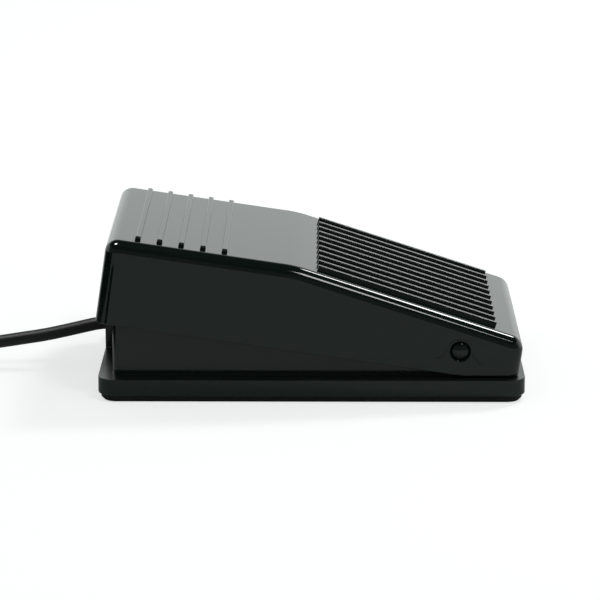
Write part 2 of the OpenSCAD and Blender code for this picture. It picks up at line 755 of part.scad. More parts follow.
module board_screws() {
    thread_l = board_t + screw_bite - 2 * side_gap;
    color([0.72, 0.72, 0.74]) for (p = screw_at) translate([p.x, p.y, board_top]) difference() {
        union() {
            cylinder(r = head_r, h = head_h);
            translate([0, 0, -thread_l]) cylinder(r = screw_r, h = thread_l + fuse);
        }
        for (a = [0, 90]) rotate(a) translate([0, 0, head_h])
            cube([head_r, head_r / 4, head_h], center = true);
    }
}

module controller_chip() {
    chip_l = 12.8;
    chip_w = 7.5;
    chip_h = 2.3;
    stand = 0.1;
    leads = 10;
    lead_pitch = 1.27;
    lead_w = 0.4;
    lead_out = 1.3;
    lead_t = 0.3;
    lead_mid = (chip_w + lead_out - fuse) / 2;
    chip_shift = 7.5;
    at = [board_x + chip_shift, board_w / 4, board_top];
    color([0.1, 0.1, 0.11]) translate(at) {
        translate([-chip_l / 2, -chip_w / 2, stand]) cube([chip_l, chip_w, chip_h]);
        for (i = [0:leads - 1], s = [-1, 1])
            translate([(i - (leads - 1) / 2) * lead_pitch, s * lead_mid, lead_t / 2])
                cube([lead_w, lead_out + fuse, lead_t], center = true);
    }
}

module crystal() {
    can_l = 10.5;
    can_w = 4.6;
    can_h = 3.4;
    foot_h = 0.4;
    color([0.75, 0.75, 0.77]) translate([board_x + board_l / 4, -board_w / 4, board_top]) {
        round_plate(can_l + 2 * foot_h, can_w + 2 * foot_h, can_w / 2, foot_h);
        round_plate(can_l, can_w, can_w / 2 - slip_gap, can_h);
    }
}

module capacitors() {
    can_r = 2.5;
    can_h = 6;
    groove_z = 1;
    groove = 0.25;
    can_pitch = 6.5;
    first = [board_x - board_l / 5, -board_w / 4, board_top];
    color([0.12, 0.14, 0.3]) for (i = [0, 1]) translate(first + [i * can_pitch, 0, 0])
        difference() {
            cylinder(r = can_r, h = can_h);
            translate([0, 0, groove_z]) rotate_extrude() translate([can_r, 0]) circle(groove);
        }
}

module switch_housing() {
    hole_r = 1;
    hole_in = 5;
    hole_z = 2.6;
    color([0.16, 0.16, 0.17]) difference() {
        union() {
            translate([switch_x0, -switch_w / 2, board_top]) cube([switch_l, switch_w, switch_h]);
            for (s = [-1, 1]) translate([pivot_x, s * (cheek_y + cheek_t / 2), pivot_z]) {
                rotate([90, 0, 0]) cylinder(r = cheek_r, h = cheek_t, center = true);
                translate([-cheek_r, -cheek_t / 2, -pivot_h - fuse])
                    cube([2 * cheek_r, cheek_t, pivot_h + fuse]);
            }
        }
        translate([pivot_x, 0, pivot_z]) rotate([90, 0, 0])
            cylinder(r = axle_r + slip_gap / 2, h = switch_w + over, center = true);
        for (x = [switch_x0 + hole_in, switch_x1 - hole_in]) translate([x, 0, board_top + hole_z])
            rotate([90, 0, 0]) cylinder(r = hole_r, h = switch_w + over, center = true);
        plunger_room = plunger_w + 2 * slip_gap;
        translate([plunger_x - plunger_room / 2, -plunger_room / 2, switch_top - plunger_depth])
            cube([plunger_room, plunger_room, plunger_depth + over]);
    }
}

module switch_terminals() {
    below = 1.4;
    color([0.8, 0.72, 0.5]) for (x = terminal_xs)
        translate([x - terminal_w / 2, -terminal_t / 2, board_z - below])
            cube([terminal_w, terminal_t, board_t + below]);
}

// Sheet lever with a barrel and an axle at its pivot
module switch_lever() {
    color([0.78, 0.78, 0.8]) translate([pivot_x, 0, pivot_z]) {
        rotate([0, lever_rest, 0]) translate([-lever_l, -lever_w / 2, -lever_t / 2])
            cube([lever_l, lever_w, lever_t]);
        rotate([90, 0, 0]) cylinder(r = barrel_r, h = lever_w, center = true);
        rotate([90, 0, 0]) cylinder(r = axle_r, h = 2 * (cheek_y + cheek_t), center = true);
    }
}

module switch_plunger() {
    foot_z = switch_top - plunger_depth / 2;
    color([0.75, 0.15, 0.12]) {
        translate([plunger_x - plunger_w / 2, -plunger_w / 2, foot_z])
            cube([plunger_w, plunger_w, plunger_z - foot_z]);
        translate([plunger_x, 0, plunger_z]) rotate([90, 0, 0])
            cylinder(d = plunger_w, h = plunger_w, center = true);
    }
}

module board_header() {
    room = header_wall - slip_gap;
    color([0.9, 0.88, 0.82]) translate([header_x, header_y - header_w / 2, board_top]) difference() {
        cube([header_l, header_w, header_h]);
        translate([-over, room, room])
            cube([header_l - header_wall + over, header_w - 2 * room, header_h - 2 * room]);
    }
}

module wire_connector() {
    w = header_w - 2 * header_wall;
    h = header_h - 2 * header_wall;
    color([0.93, 0.91, 0.86]) translate([header_x - connector_out, header_y - w / 2, header_mid_z - h / 2])
        cube([connector_l, w, h]);
}

// One of the four wires: its place in the bunch is a corner of a square, and in the row a step
module inner_wire(i) {
    bunch = [0, (i % 2 - 0.5) * bunch_pitch, (floor(i / 2) - 0.5) * bunch_pitch];
    row = [0, (i % 2 * 2 + floor(i / 2) - 1.5) * row_pitch, 0];
    path = [for (k = [0:len(wire_route) - 1])
        wire_route[k] + bunch * (1 - wire_spread[k]) + row * wire_spread[k]];
    tube(path, inner_wire_d, 6);
}

module wire_red() {
    color([0.7, 0.08, 0.07]) inner_wire(0);
}

module wire_white() {
    color([0.9, 0.9, 0.88]) inner_wire(1);
}

module wire_green() {
    color([0.1, 0.45, 0.2]) inner_wire(2);
}

module wire_black() {
    color([0.06, 0.06, 0.06]) inner_wire(3);
}

// Rubber bush in the outlet, with a flange inside the rear wall
module cord_grommet() {
    flange_out = 1.2;
    flange_r = grommet_r + flange_out;
    flange_t = 1.4;
    through = upstand_rear + wall_t + slip_gap;
    color([0.05, 0.05, 0.05]) translate([rear_x, 0, outlet_z]) rotate([0, 90, 0]) difference() {
        union() {
            cylinder(r = grommet_r, h = through + flange_t);
            translate([0, 0, through]) cylinder(r = flange_r, h = flange_t);
        }
        translate([0, 0, -over]) cylinder(r = cord_d / 2 + slip_gap, h = through + flange_t + 2 * over);
    }
}

module cord_run() {
    color([0.05, 0.05, 0.055]) tube(run_route, cord_d, 8);
}

module cord_coil() {
    color([0.05, 0.05, 0.055]) tube(coil_path, cord_d, 6);
}

module cord_tail() {
    color([0.05, 0.05, 0.055]) tube(tail_route, cord_d, 8);
}

// Flat strap around all the turns, on the side of the coil away from the cord's ends
module cord_tie() {
    in_w = coil_outer - coil_inner + cord_d + 2 * side_gap;
    in_h = (coil_layers - 1) * layer_step + cord_d + 2 * side_gap;
    mid_z = coil_z + (coil_layers - 1) * layer_step / 2;
    color([0.1, 0.1, 0.1]) translate([coil_x, coil_y - coil_r, mid_z]) rotate([90, 0, 90])
        linear_extrude(tie_w, center = true) difference() {
            round_rect(in_w + 2 * tie_t, in_h + 2 * tie_t, cord_d / 2);
            round_rect(in_w, in_h, cord_d / 2 - tie_t);
        }
}

// Moulded grip with finger hollows at its sides and a ringed strain relief
module plug_grip() {
    corner = 1.6;
    dent_r = 14;
    dent = 0.6;
    rings = 4;
    ring_t = 1.4;
    ring_out = 0.3;
    ring_growth = 0.2;
    neck_wall = 0.7;
    neck_r = cord_d / 2 + neck_wall;
    ring_step = (relief_l - ring_t) / rings;
    color([0.06, 0.06, 0.065]) translate([plug_x, plug_y, plug_z]) rotate([0, -90, 0]) difference() {
        union() {
            translate([0, 0, relief_l]) linear_extrude(grip_l) round_rect(grip_t, grip_w, corner);
            cylinder(r = neck_r, h = relief_l + fuse);
            for (i = [0:rings - 1]) translate([0, 0, i * ring_step])
                cylinder(r = neck_r + ring_out + i * ring_growth, h = ring_t);
        }
        for (s = [-1, 1]) translate([0, s * (grip_w / 2 + dent_r - dent), relief_l + grip_l / 2])
            rotate([0, 90, 0]) cylinder(r = dent_r, h = grip_t + over, center = true);
    }
}

// Folded metal shell, seen from its mouth: a thin rectangle
module plug_shell() {
    window = 2.5;
    color([0.8, 0.8, 0.82]) translate([plug_face, plug_y, plug_z]) rotate([0, -90, 0]) difference() {
        linear_extrude(shell_l) difference() {
            round_rect(shell_h, shell_w, 2 * shell_t);
            round_rect(shell_h - 2 * shell_t, shell_w - 2 * shell_t, shell_t);
        }
        for (s = [-1, 1]) translate([-shell_h, s * window - window / 2, shell_l / 2 - window / 2])
            cube([2 * shell_h, window, window]);
    }
}

// Plastic tongue that carries the contacts inside the shell
module plug_tongue() {
    color([0.92, 0.92, 0.9]) translate([plug_face - shell_l + tongue_in, plug_y - tongue_w / 2, tongue_z])
        cube([shell_l - tongue_in, tongue_w, tongue_t]);
}

module plug_contacts() {
    contact_t = 0.2;
    contact_w = 1.1;
    contact_in = 2;
    contact_inner = 1;
    contact_outer = 3.5;
    first = [plug_face - shell_l + contact_in, plug_y - contact_w / 2, tongue_z + tongue_t];
    color([0.85, 0.68, 0.3]) for (y = [contact_inner, contact_outer], s = [-1, 1])
        translate(first + [0, s * y, 0]) cube([shell_l - contact_in, contact_w, contact_t]);
}

base_housing();
weight_plate();
plate_screws();
anti_slip_pad();
hinge_pin_left();
hinge_pin_right();
pedal_cover();
return_spring();
circuit_board();
board_screws();
controller_chip();
crystal();
capacitors();
switch_housing();
switch_terminals();
switch_lever();
switch_plunger();
board_header();
wire_connector();
wire_red();
wire_white();
wire_green();
wire_black();
cord_grommet();
cord_run();
cord_coil();
cord_tail();
cord_tie();
plug_grip();
plug_shell();
plug_tongue();
plug_contacts();
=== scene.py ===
# %% [markdown]
# # A USB foot pedal
# The pedal is a glossy black cover that rocks on two pins over a low base, with a thin cord
# that ends in a USB plug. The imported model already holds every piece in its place, so this
# file loads it first and then gives each piece the form and finish that the real one has.
# Lengths on the pedal are written in millimetres and turned into metres by MM. The room
# around it is laid out in metres.

# %% Load the frame
import math

import bmesh
import bpy
from mathutils import Matrix, Vector


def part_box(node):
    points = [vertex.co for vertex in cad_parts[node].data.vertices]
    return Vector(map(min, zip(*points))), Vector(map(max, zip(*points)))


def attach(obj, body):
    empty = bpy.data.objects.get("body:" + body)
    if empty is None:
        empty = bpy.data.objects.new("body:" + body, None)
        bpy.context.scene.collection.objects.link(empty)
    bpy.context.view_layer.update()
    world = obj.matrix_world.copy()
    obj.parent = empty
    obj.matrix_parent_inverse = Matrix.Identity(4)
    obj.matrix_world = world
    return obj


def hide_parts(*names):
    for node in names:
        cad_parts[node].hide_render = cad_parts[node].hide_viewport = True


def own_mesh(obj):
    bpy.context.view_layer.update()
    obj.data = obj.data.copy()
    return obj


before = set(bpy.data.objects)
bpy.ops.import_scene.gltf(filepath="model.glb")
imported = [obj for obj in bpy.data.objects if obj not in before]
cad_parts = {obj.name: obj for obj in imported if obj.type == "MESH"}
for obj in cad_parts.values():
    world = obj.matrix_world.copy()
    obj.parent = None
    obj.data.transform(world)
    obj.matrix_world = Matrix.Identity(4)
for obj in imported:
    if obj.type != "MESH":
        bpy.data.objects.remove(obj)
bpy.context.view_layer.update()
scene = bpy.context.scene
scene.view_settings.view_transform = "Standard"
MM = 0.001

# %% [markdown]
# ## Camera
# The photograph looks at the pedal's left side from a little above, with a long lens. The
# place, tilt and lens were found by fitting the outline of the plinth and of the cover, so
# the render can be laid over the photograph. A long lens far away keeps the base's edges
# almost parallel, as they are in the photograph.

# %% Camera at the photograph's place
LENS, CAMERA_FAR = 189.7, 782.6 * MM
PITCH, YAW = math.radians(13.75), math.radians(-0.42)
aim = Vector((-2.97, 0, 16.8)) * MM
look = Vector((math.sin(YAW) * math.cos(PITCH), math.cos(YAW) * math.cos(PITCH), -math.sin(PITCH)))


def placed(name, data):
    """A new object in the scene that shows some data."""
    item = bpy.data.objects.new(name, data)
    scene.collection.objects.link(item)
    return item


camera = placed("camera", bpy.data.cameras.new("camera"))
camera.data.lens = LENS
camera.data.sensor_width = 36
camera.location = aim - CAMERA_FAR * look
camera.rotation_euler = look.to_track_quat("-Z", "Y").to_euler()
scene.camera = camera
print("camera at", [round(v, 3) for v in camera.location])

# %% [markdown]
# ## Cord
# The cord is a soft round cable, 3.2 mm thick and 1.8 m long. It leaves the rear of the base,
# sinks to the floor, and the part that the photograph doesn't show is wound into a tied coil.
# A cord could be a mesh swept along its line, but a curve with a round bevel keeps the line
# itself, so its length and its bends can be measured. The route repeats the model's own
# points: each step is a share of the way between two places.

# %% Places that the cord's route hangs on
CORD_D = 3.2
REAR_X, OUTLET_Z = -51, 11
UPSTAND_X, WALL = -47.6, 2
COIL_X, COIL_Z, COIL_R = -118, 2.5, 18
LOOPS, LAYERS, TURN_STEP, LAYER_STEP = 14.75, 4, 3.75, 3.7
PLUG_END = Vector((-112, 18, 3.8))
layer_loops = LOOPS / LAYERS
coil_outer = COIL_R + layer_loops * TURN_STEP / 2
coil_inner = COIL_R - layer_loops * TURN_STEP / 2
outlet_mouth = Vector((REAR_X, 0, OUTLET_Z))
jacket_end = Vector((UPSTAND_X + 2 * WALL, 0, OUTLET_Z))


def between(start, end, step):
    """The point that lies the three shares of step along the way from start to end."""
    return Vector(a + (b - a) * s for a, b, s in zip(start, end, step))

# %% Route of the run, the coil and the tail
def coil_point(turn):
    """A point of the coil: the turns run in and out, and climb a layer around each reversal."""
    layer, along = divmod(turn, layer_loops)
    radius = coil_outer - along * TURN_STEP if layer % 2 == 0 else coil_inner + along * TURN_STEP
    climbs = [min(1, max(0, 2 * (turn - k * layer_loops) + 0.5)) for k in range(1, LAYERS)]
    angle = math.radians(90 + 360 * turn)
    middle = Vector((COIL_X, -coil_outer, COIL_Z + LAYER_STEP * sum(climbs)))
    return middle + radius * Vector((math.cos(angle), math.sin(angle), 0))


run_steps = [(0, 0), (0.045, 0.045), (0.135, 0.21), (0.225, 0.365), (0.315, 0.48),
             (0.4, 0.585), (0.505, 0.705), (0.61, 0.81), (0.715, 0.92), (0.82, 0.985)]
coil_start = Vector((COIL_X, 0, COIL_Z))
run = [jacket_end, Vector((UPSTAND_X, 0, OUTLET_Z))]
run += [between(outlet_mouth, coil_start, (x, 0, z)) for x, z in run_steps]
run += [coil_start + Vector((2 * CORD_D, 0, 0)), coil_start + Vector((CORD_D, 0, 0))]

tail_steps = [(0, 0.145, 0.07), (0, 0.32, 0.245), (0, 0.495, 0.455), (0.05, 0.66, 0.65),
              (0.21, 0.825, 0.82), (0.47, 0.945, 0.94), (0.735, 0.99, 0.99)]
coil_end = Vector((COIL_X + coil_outer, -coil_outer, COIL_Z + (LAYERS - 1) * LAYER_STEP))
tail_start = coil_end + Vector((0, CORD_D, 0))
tail = [tail_start, tail_start + Vector((0, CORD_D / 2, 0))]
tail += [between(tail_start, PLUG_END, step) for step in tail_steps]
tail += [PLUG_END + Vector((CORD_D, 0, 0)), PLUG_END]

# %% Smooth the route and lay the cord on it
def smooth_line(points, parts):
    """Points on a smooth line through the given ones, with parts steps from each to the next."""
    ends = [2 * points[0] - points[1]] + points + [2 * points[-1] - points[-2]]
    line = []
    for a, b, c, d in zip(ends, ends[1:], ends[2:], ends[3:]):
        for i in range(parts):
            t = i / parts
            line.append(b + (c - a) * t / 2 + (a - 2.5 * b + 2 * c - d / 2) * t ** 2
                        + (1.5 * (b - c) + (d - a) / 2) * t ** 3)
    return line + [points[-1]]


def tube_curve(name, line, diameter):
    """A round tube along a line, as a curve of one open spline."""
    curve = bpy.data.curves.new(name, "CURVE")
    curve.dimensions = "3D"
    curve.bevel_depth = 1
    curve.bevel_resolution = TUBE_STEPS
    curve.use_fill_caps = True
    spline = curve.splines.new("POLY")
    spline.points.add(len(line) - 1)
    for point, place in zip(spline.points, line):
        point.co = (*(place * MM), 1)
        point.radius = diameter / 2 * MM
    spline.use_smooth = True
    return placed(name, curve)


TUBE_STEPS, TURN_POINTS, STEP_PARTS = 8, 36, 4
turns = [coil_point(i / TURN_POINTS) for i in range(round(LOOPS * TURN_POINTS) + 1)]
cord_line = smooth_line(run, STEP_PARTS) + turns + smooth_line(tail, STEP_PARTS)
cord = tube_curve("cord", cord_line, CORD_D)
cord_length = sum((b - a).length for a, b in zip(cord_line, cord_line[1:]))
print("cord:", round(cord_length), "mm on", len(cord_line), "points")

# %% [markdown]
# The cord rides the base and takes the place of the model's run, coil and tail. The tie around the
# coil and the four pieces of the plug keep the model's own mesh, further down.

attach(cord, "base")
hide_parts("cord_run", "cord_coil", "cord_tail")
print("cord: in place of its run, coil and tail")

# %% [markdown]
# ## Nodes
# The room, the finishes and two of the forms are made of nodes, which pass values along links.
# A few helpers add a node with its numbers and link nodes in rows, so that each step below
# shows little else than what goes where.

# %% Helpers for nodes
def set_inputs(node, values):
    """Set inputs of a node by their names."""
    for name, value in values.items():
        node.inputs[name.replace("_", " ")].default_value = value


def add_node(tree, kind, **values):
    """A new node in a tree, with some of its inputs set by their names."""
    node = tree.nodes.new(kind)
    set_inputs(node, values)
    return node


def maths_node(tree, operation, *values):
    """A new node that reckons with its inputs. None leaves an input for a link."""
    node = add_node(tree, "ShaderNodeMath")
    node.operation = operation
    for socket, value in zip(node.inputs, values):
        if value is not None:
            socket.default_value = value
    return node


def spread_node(tree, limits, low, high):
    """A new node that spreads what lies between two limits over the range from low to high."""
    return add_node(tree, "ShaderNodeMapRange", From_Min=limits[0], From_Max=limits[1],
                    To_Min=low, To_Max=high)


def linked(tree, *rows):
    """Link nodes. Each row is a node and its output, then a node and its input."""
    for source, output, target, socket in rows:
        tree.links.new(source.outputs[output], target.inputs[socket])

# %% [markdown]
# ## Floor and light
# The pedal stands on a pale sheet in a bright room. Its gloss shows the white wall behind it
# on every surface that is seen at a low angle, the sheet on its upright sides, and a darker
# ceiling with two lamps on its rounded edges. A lamp for each surface would be hard to set, so
# the surroundings do most of the work: a level that differs with direction for reflections,
# an even level for soft light, and white for what the camera sees directly.

# %% Surroundings
WALL_GLOW, FRONT_SHARE, CEILING_GLOW, SOFT_GLOW = 0.95, 0.08, 0.04, 0.36
WALL_ENDS, FRONT_TO_BACK = (0.42, 0.66), (-0.35, 0.3)
ROOM_TINT = (0.94, 1.0, 0.975, 1)
world = bpy.data.worlds.new("bright_room")
scene.world = world
world.use_nodes = True
room = world.node_tree
room.nodes.clear()
ray = add_node(room, "ShaderNodeLightPath")
way = add_node(room, "ShaderNodeTexCoord")
way_axes = add_node(room, "ShaderNodeSeparateXYZ")
wall_share = spread_node(room, WALL_ENDS, WALL_GLOW, 0)
back_share = spread_node(room, FRONT_TO_BACK, FRONT_SHARE, 1)
wall_share.interpolation_type = back_share.interpolation_type = "SMOOTHSTEP"
mirrored = maths_node(room, "MULTIPLY_ADD", None, None, CEILING_GLOW)
kind_of_ray = add_node(room, "ShaderNodeMix", A=SOFT_GLOW)
seen = add_node(room, "ShaderNodeMix", B=1.0)
glow = add_node(room, "ShaderNodeBackground", Color=ROOM_TINT)
room_out = add_node(room, "ShaderNodeOutputWorld")
linked(room,
       (way, "Generated", way_axes, "Vector"), (way_axes, "Z", wall_share, "Value"),
       (way_axes, "Y", back_share, "Value"), (wall_share, "Result", mirrored, 0),
       (back_share, "Result", mirrored, 1), (ray, "Is Glossy Ray", kind_of_ray, "Factor"),
       (mirrored, "Value", kind_of_ray, "B"), (ray, "Is Camera Ray", seen, "Factor"),
       (kind_of_ray, "Result", seen, "A"), (seen, "Result", glow, "Strength"),
       (glow, "Background", room_out, "Surface"))
print("surroundings:", len(room.nodes), "nodes")

# %% [markdown]
# The sheet itself is a plain pale grey. For the camera it gives off a little light of its own,
# which lifts it to the white of the photograph and still leaves the shadow on it. In the
# gloss of the pedal it is whiter behind the pedal than in front, where the room is darker.

# %% Floor
FLOOR_SIZE, CAMERA_LIFT, GLOSS_LIFT = 3.0, 0.66, 0.5
PALE_GREY, WHITER_FROM_TO = (0.575, 0.6, 0.59, 1), (-0.03, 0.15)


def plain_finish(name, **values):
    """A new material, with some inputs of its shader set by their names."""
    material = bpy.data.materials.new(name)
    material.use_nodes = True
    set_inputs(material.node_tree.nodes["Principled BSDF"], values)
    return material


def flat_sheet(name, corners, finish):
    """A sheet of four corners with a finish."""
    mesh = bpy.data.meshes.new(name)
    mesh.from_pydata(corners, [], [(0, 1, 2, 3)])
    mesh.materials.append(finish)
    return placed(name, mesh)


sheet = plain_finish("pale_sheet", Base_Color=PALE_GREY, Roughness=1, Specular_IOR_Level=0,
                     Emission_Color=(1, 1, 1, 1))
paper = sheet.node_tree
paper_ray = add_node(paper, "ShaderNodeLightPath")
paper_place = add_node(paper, "ShaderNodeTexCoord")
paper_axes = add_node(paper, "ShaderNodeSeparateXYZ")
whiter = spread_node(paper, WHITER_FROM_TO, 0, GLOSS_LIFT)
gloss_lift = maths_node(paper, "MULTIPLY")
lift = maths_node(paper, "MULTIPLY_ADD", None, CAMERA_LIFT)
linked(paper,
       (paper_place, "Object", paper_axes, "Vector"), (paper_axes, "Y", whiter, "Value"),
       (paper_ray, "Is Glossy Ray", gloss_lift, 0), (whiter, "Result", gloss_lift, 1),
       (paper_ray, "Is Camera Ray", lift, 0), (gloss_lift, "Value", lift, 2),
       (lift, "Value", paper.nodes["Principled BSDF"], "Emission Strength"))
floor_corners = [(x * FLOOR_SIZE, y * FLOOR_SIZE, 0) for x, y in ((-1, -1), (1, -1), (1, 1), (-1, 1))]
floor = flat_sheet("floor", floor_corners, sheet)
print("floor:", 2 * FLOOR_SIZE, "m wide")

# %% [markdown]
# Two almost square lamps hang above the pedal's low end, one a little behind it and one in
# front. Each shows as one bright line on the rounded near edge, so their directions were found
# from the lines in the photograph by turning the view about the edge's own direction there. A
# long third one hangs level above the cord. It is the bright spot on the cover's rear corner
# and the pale band along the cord, and it shows in the gloss alone.

# %% Lamps
LAMP_FAR = 1.2


def hung_lamp(name, direction, width, length, level):
    """A soft lamp that hangs in a direction from the pedal and faces it."""
    lamp = bpy.data.lights.new(name, "AREA")
    lamp.shape = "RECTANGLE"
    lamp.size, lamp.size_y = width, length
    lamp.energy = level * math.pi * width * length
    holder = placed(name, lamp)
    holder.location = LAMP_FAR * Vector(direction).normalized()
    holder.rotation_euler = Vector(direction).to_track_quat("Z", "Y").to_euler()
    return holder


hung_lamp("lamp_behind", (0.40, 0.51, 0.79), width=0.22, length=0.24, level=20)
hung_lamp("lamp_in_front", (0.33, -0.43, 0.83), width=0.20, length=0.22, level=10.5)
cord_lamp = hung_lamp("lamp_above_cord", (-0.2, -0.06, 0.95), width=0.33, length=0.2, level=38)
cord_lamp.rotation_euler = (0, 0, 0)
cord_lamp.visible_diffuse = False

# %% [markdown]
# In the photograph the rounded rear corner has a black band down its length and, nearer to
# the wall, a thin black line. Something dark stood to the left of the pedal, and something
# narrow in front of its rear. Two dark cards give the same. They show in the gloss alone, so
# they neither hide the pedal from other sides nor shade the floor.

# %% Dark cards
card_finish = plain_finish("card_black", Base_Color=(0.01, 0.01, 0.01, 1))


def dark_card(name, left, right, foot, top):
    """An upright dark card over a line on the floor, which only the gloss shows."""
    card = flat_sheet(name, [(*left, foot), (*right, foot), (*right, top), (*left, top)], card_finish)
    card.visible_camera = card.visible_diffuse = card.visible_shadow = False
    print(name + ":", round((Vector(right) - Vector(left)).length, 3), "m long")


dark_card("card_at_left", (-0.19, -0.17), (-0.19, 0.075), foot=0, top=0.03)
dark_card("card_in_front", (-0.0555, -0.066), (-0.0675, -0.062), foot=0.009, top=0.027)

# %% [markdown]
# ## Finishes
# Most of the pedal is black plastic, but no two of its blacks are alike: the cover and the
# base are glossy, the pad is dull rubber and the cord is softer vinyl. All of them are made
# from the same few steps, which read the piece's own coordinates so that the pattern stays on
# the piece when it moves: a noise of a given size in millimetres, a range that the noise is
# spread over, and a relief that the light catches on.

# %% Steps that the finishes share
class Finish:
    """A material under construction: its nodes, its shader and the piece's own coordinates."""

    def __init__(self, name, **values):
        self.material = plain_finish(name, **values)
        self.tree = self.material.node_tree
        self.link = self.tree.links.new
        self.shader = self.tree.nodes["Principled BSDF"]
        self.place = add_node(self.tree, "ShaderNodeTexCoord").outputs["Object"]

    def into(self, socket, value):
        """Link a value to one of the shader's inputs."""
        self.link(value, self.shader.inputs[socket])

    def through(self, kind, socket, value, result, **values):
        """What comes out of a new node when a value goes in."""
        node = add_node(self.tree, kind, **values)
        self.link(value, node.inputs[socket])
        return node.outputs[result]

    def stretched(self, *scale):
        """The piece's coordinates, stretched so that a pattern runs along one axis."""
        return self.through("ShaderNodeMapping", "Vector", self.place, "Vector", Scale=scale)

    def grain(self, size, detail=3, place=None):
        """A noise whose blotches are about size millimetres across."""
        return self.through("ShaderNodeTexNoise", "Vector", place or self.place, "Fac",
                            Scale=1 / (size * MM), Detail=detail)

    def spread(self, value, low, high, limits=(0.3, 0.7)):
        """A value between two limits, spread over the range from low to high."""
        span = spread_node(self.tree, limits, low, high)
        self.link(value, span.inputs["Value"])
        return span.outputs["Result"]

    def rough(self, value, low, high):
        """Roughness that varies with a noise."""
        self.into("Roughness", self.spread(value, low, high))

    def tint(self, value, dark, light, limits=(0.3, 0.7), then=()):
        """Colour that varies with a noise, from dark to light and then to other colours."""
        ramp = add_node(self.tree, "ShaderNodeValToRGB")
        for stop, position, colour in zip(ramp.color_ramp.elements, limits, (dark, light)):
            stop.position, stop.color = position, (*colour, 1)
        for position, colour in then:
            ramp.color_ramp.elements.new(position).color = (*colour, 1)
        self.link(value, ramp.inputs["Fac"])
        self.into("Base Color", ramp.outputs["Color"])

    def more_near(self, value, level, reach, gain):
        """A value that is raised by gain on what lies within reach of a level, in millimetres."""
        height = self.through("ShaderNodeSeparateXYZ", "Vector", self.place, "Z")
        near_level = maths_node(self.tree, "COMPARE", None, level * MM, reach * MM)
        raised = maths_node(self.tree, "MULTIPLY_ADD", None, gain)
        self.link(height, near_level.inputs[0])
        self.link(near_level.outputs["Value"], raised.inputs[0])
        self.link(value, raised.inputs[2])
        return raised.outputs["Value"]

    def relief(self, height, depth):
        """A relief of a depth in millimetres."""
        self.into("Normal", self.through("ShaderNodeBump", "Height", height, "Normal",
                                         Distance=depth * MM))

# %% [markdown]
# Gloss black plastic is the finish that the photograph is about. The mould was polished, so
# the surface is almost a mirror, with the slight waviness that plastic keeps as it cools, a
# few smudges that make it a little duller here and there, and the dust that every gloss
# black thing gathers. On the base most of the dust lies on the ledge under the cover, which
# is dull with it.

# %% Gloss black plastic
BLACK_PLASTIC, DUST, PLASTIC_IOR = (0.0025, 0.0085, 0.0055), (0.14, 0.14, 0.135), 1.55
SMUDGE_SIZE, SPECK_SIZE, SPECK_FADE = 22, 0.3, 0.08
WAVE_SIZE, WAVE_DEPTH = 3.5, 0.003
DUSTY_REACH, MORE_DUST, DULLER = 0.35, 0.05, 0.15


def gloss_plastic(name, mirror, smudged, dust_from, dusty_level):
    """Polished black plastic: roughness from mirror to smudged, and dust above a noise level."""
    finish = Finish(name, IOR=PLASTIC_IOR)
    polish = finish.spread(finish.grain(SMUDGE_SIZE), mirror, smudged)
    finish.into("Roughness", finish.more_near(polish, dusty_level, DUSTY_REACH, DULLER))
    specks = finish.more_near(finish.grain(SPECK_SIZE, detail=1), dusty_level, DUSTY_REACH, MORE_DUST)
    finish.tint(specks, BLACK_PLASTIC, DUST, (dust_from, dust_from + SPECK_FADE))
    finish.relief(finish.grain(WAVE_SIZE, detail=1), WAVE_DEPTH)
    return finish.material


LEDGE_Z, COVER_RIM_Z = 5.7, 6.3
cover_finish = gloss_plastic("polished_cover_black", 0.06, 0.12, 0.80, COVER_RIM_Z)
base_finish = gloss_plastic("polished_base_black", 0.09, 0.16, 0.77, LEDGE_Z)
pin_finish = gloss_plastic("polished_pin_black", 0.04, 0.08, 0.80, LEDGE_Z)
print("gloss finishes:", cover_finish.name, base_finish.name, pin_finish.name)

# %% [markdown]
# The other black pieces are duller. Rubber and vinyl scatter the light in a fine grain, so
# they show no mirror image, and moulded parts inside the base were never polished at all.
# Each line of the table is one finish. The cord was laid before its finish was there, so it
# gets it here.

# %% Rubber, vinyl and moulded plastics
PATCHES, WIRE_GRAIN = 9, (0.35, 0.5, 0.4, 0.004)


def moulded(name, dark, light, smooth, dull, grain_size, depth):
    """Moulded plastic or rubber between two colours, with a grain of a size and depth in mm."""
    finish = Finish(name)
    speckle = finish.grain(grain_size)
    finish.tint(finish.grain(grain_size * PATCHES), dark, light)
    finish.rough(speckle, smooth, dull)
    finish.relief(speckle, depth)
    return finish.material


def grey(level):
    """A colour without a hue."""
    return (level, level, level)


plastics = {name: moulded(name, *values) for name, *values in (
    ("pad_rubber_dull", (0.0055, 0.0075, 0.007), (0.0095, 0.012, 0.0115), 0.6, 0.85, 0.6, 0.03),
    ("cord_vinyl_black", grey(0.0045), grey(0.0075), 0.42, 0.52, 0.5, 0.004),
    ("plug_vinyl_black", grey(0.005), grey(0.009), 0.42, 0.58, 0.35, 0.012),
    ("grommet_rubber_dull", grey(0.006), grey(0.011), 0.6, 0.8, 0.5, 0.02),
    ("switch_case_black", grey(0.01), grey(0.018), 0.35, 0.5, 0.3, 0.006),
    ("plunger_red", (0.42, 0.012, 0.01), (0.52, 0.02, 0.015), 0.3, 0.42, 0.3, 0.004),
    ("connector_nylon", (0.6, 0.58, 0.5), (0.7, 0.68, 0.6), 0.4, 0.52, 0.4, 0.005),
    ("tongue_white", grey(0.62), grey(0.72), 0.38, 0.5, 0.4, 0.005),
    ("wire_red_vinyl", (0.4, 0.01, 0.008), (0.5, 0.018, 0.012), *WIRE_GRAIN),
    ("wire_white_vinyl", grey(0.62), grey(0.74), *WIRE_GRAIN),
    ("wire_green_vinyl", (0.01, 0.16, 0.03), (0.018, 0.22, 0.045), *WIRE_GRAIN),
    ("wire_black_vinyl", grey(0.008), grey(0.014), *WIRE_GRAIN))}
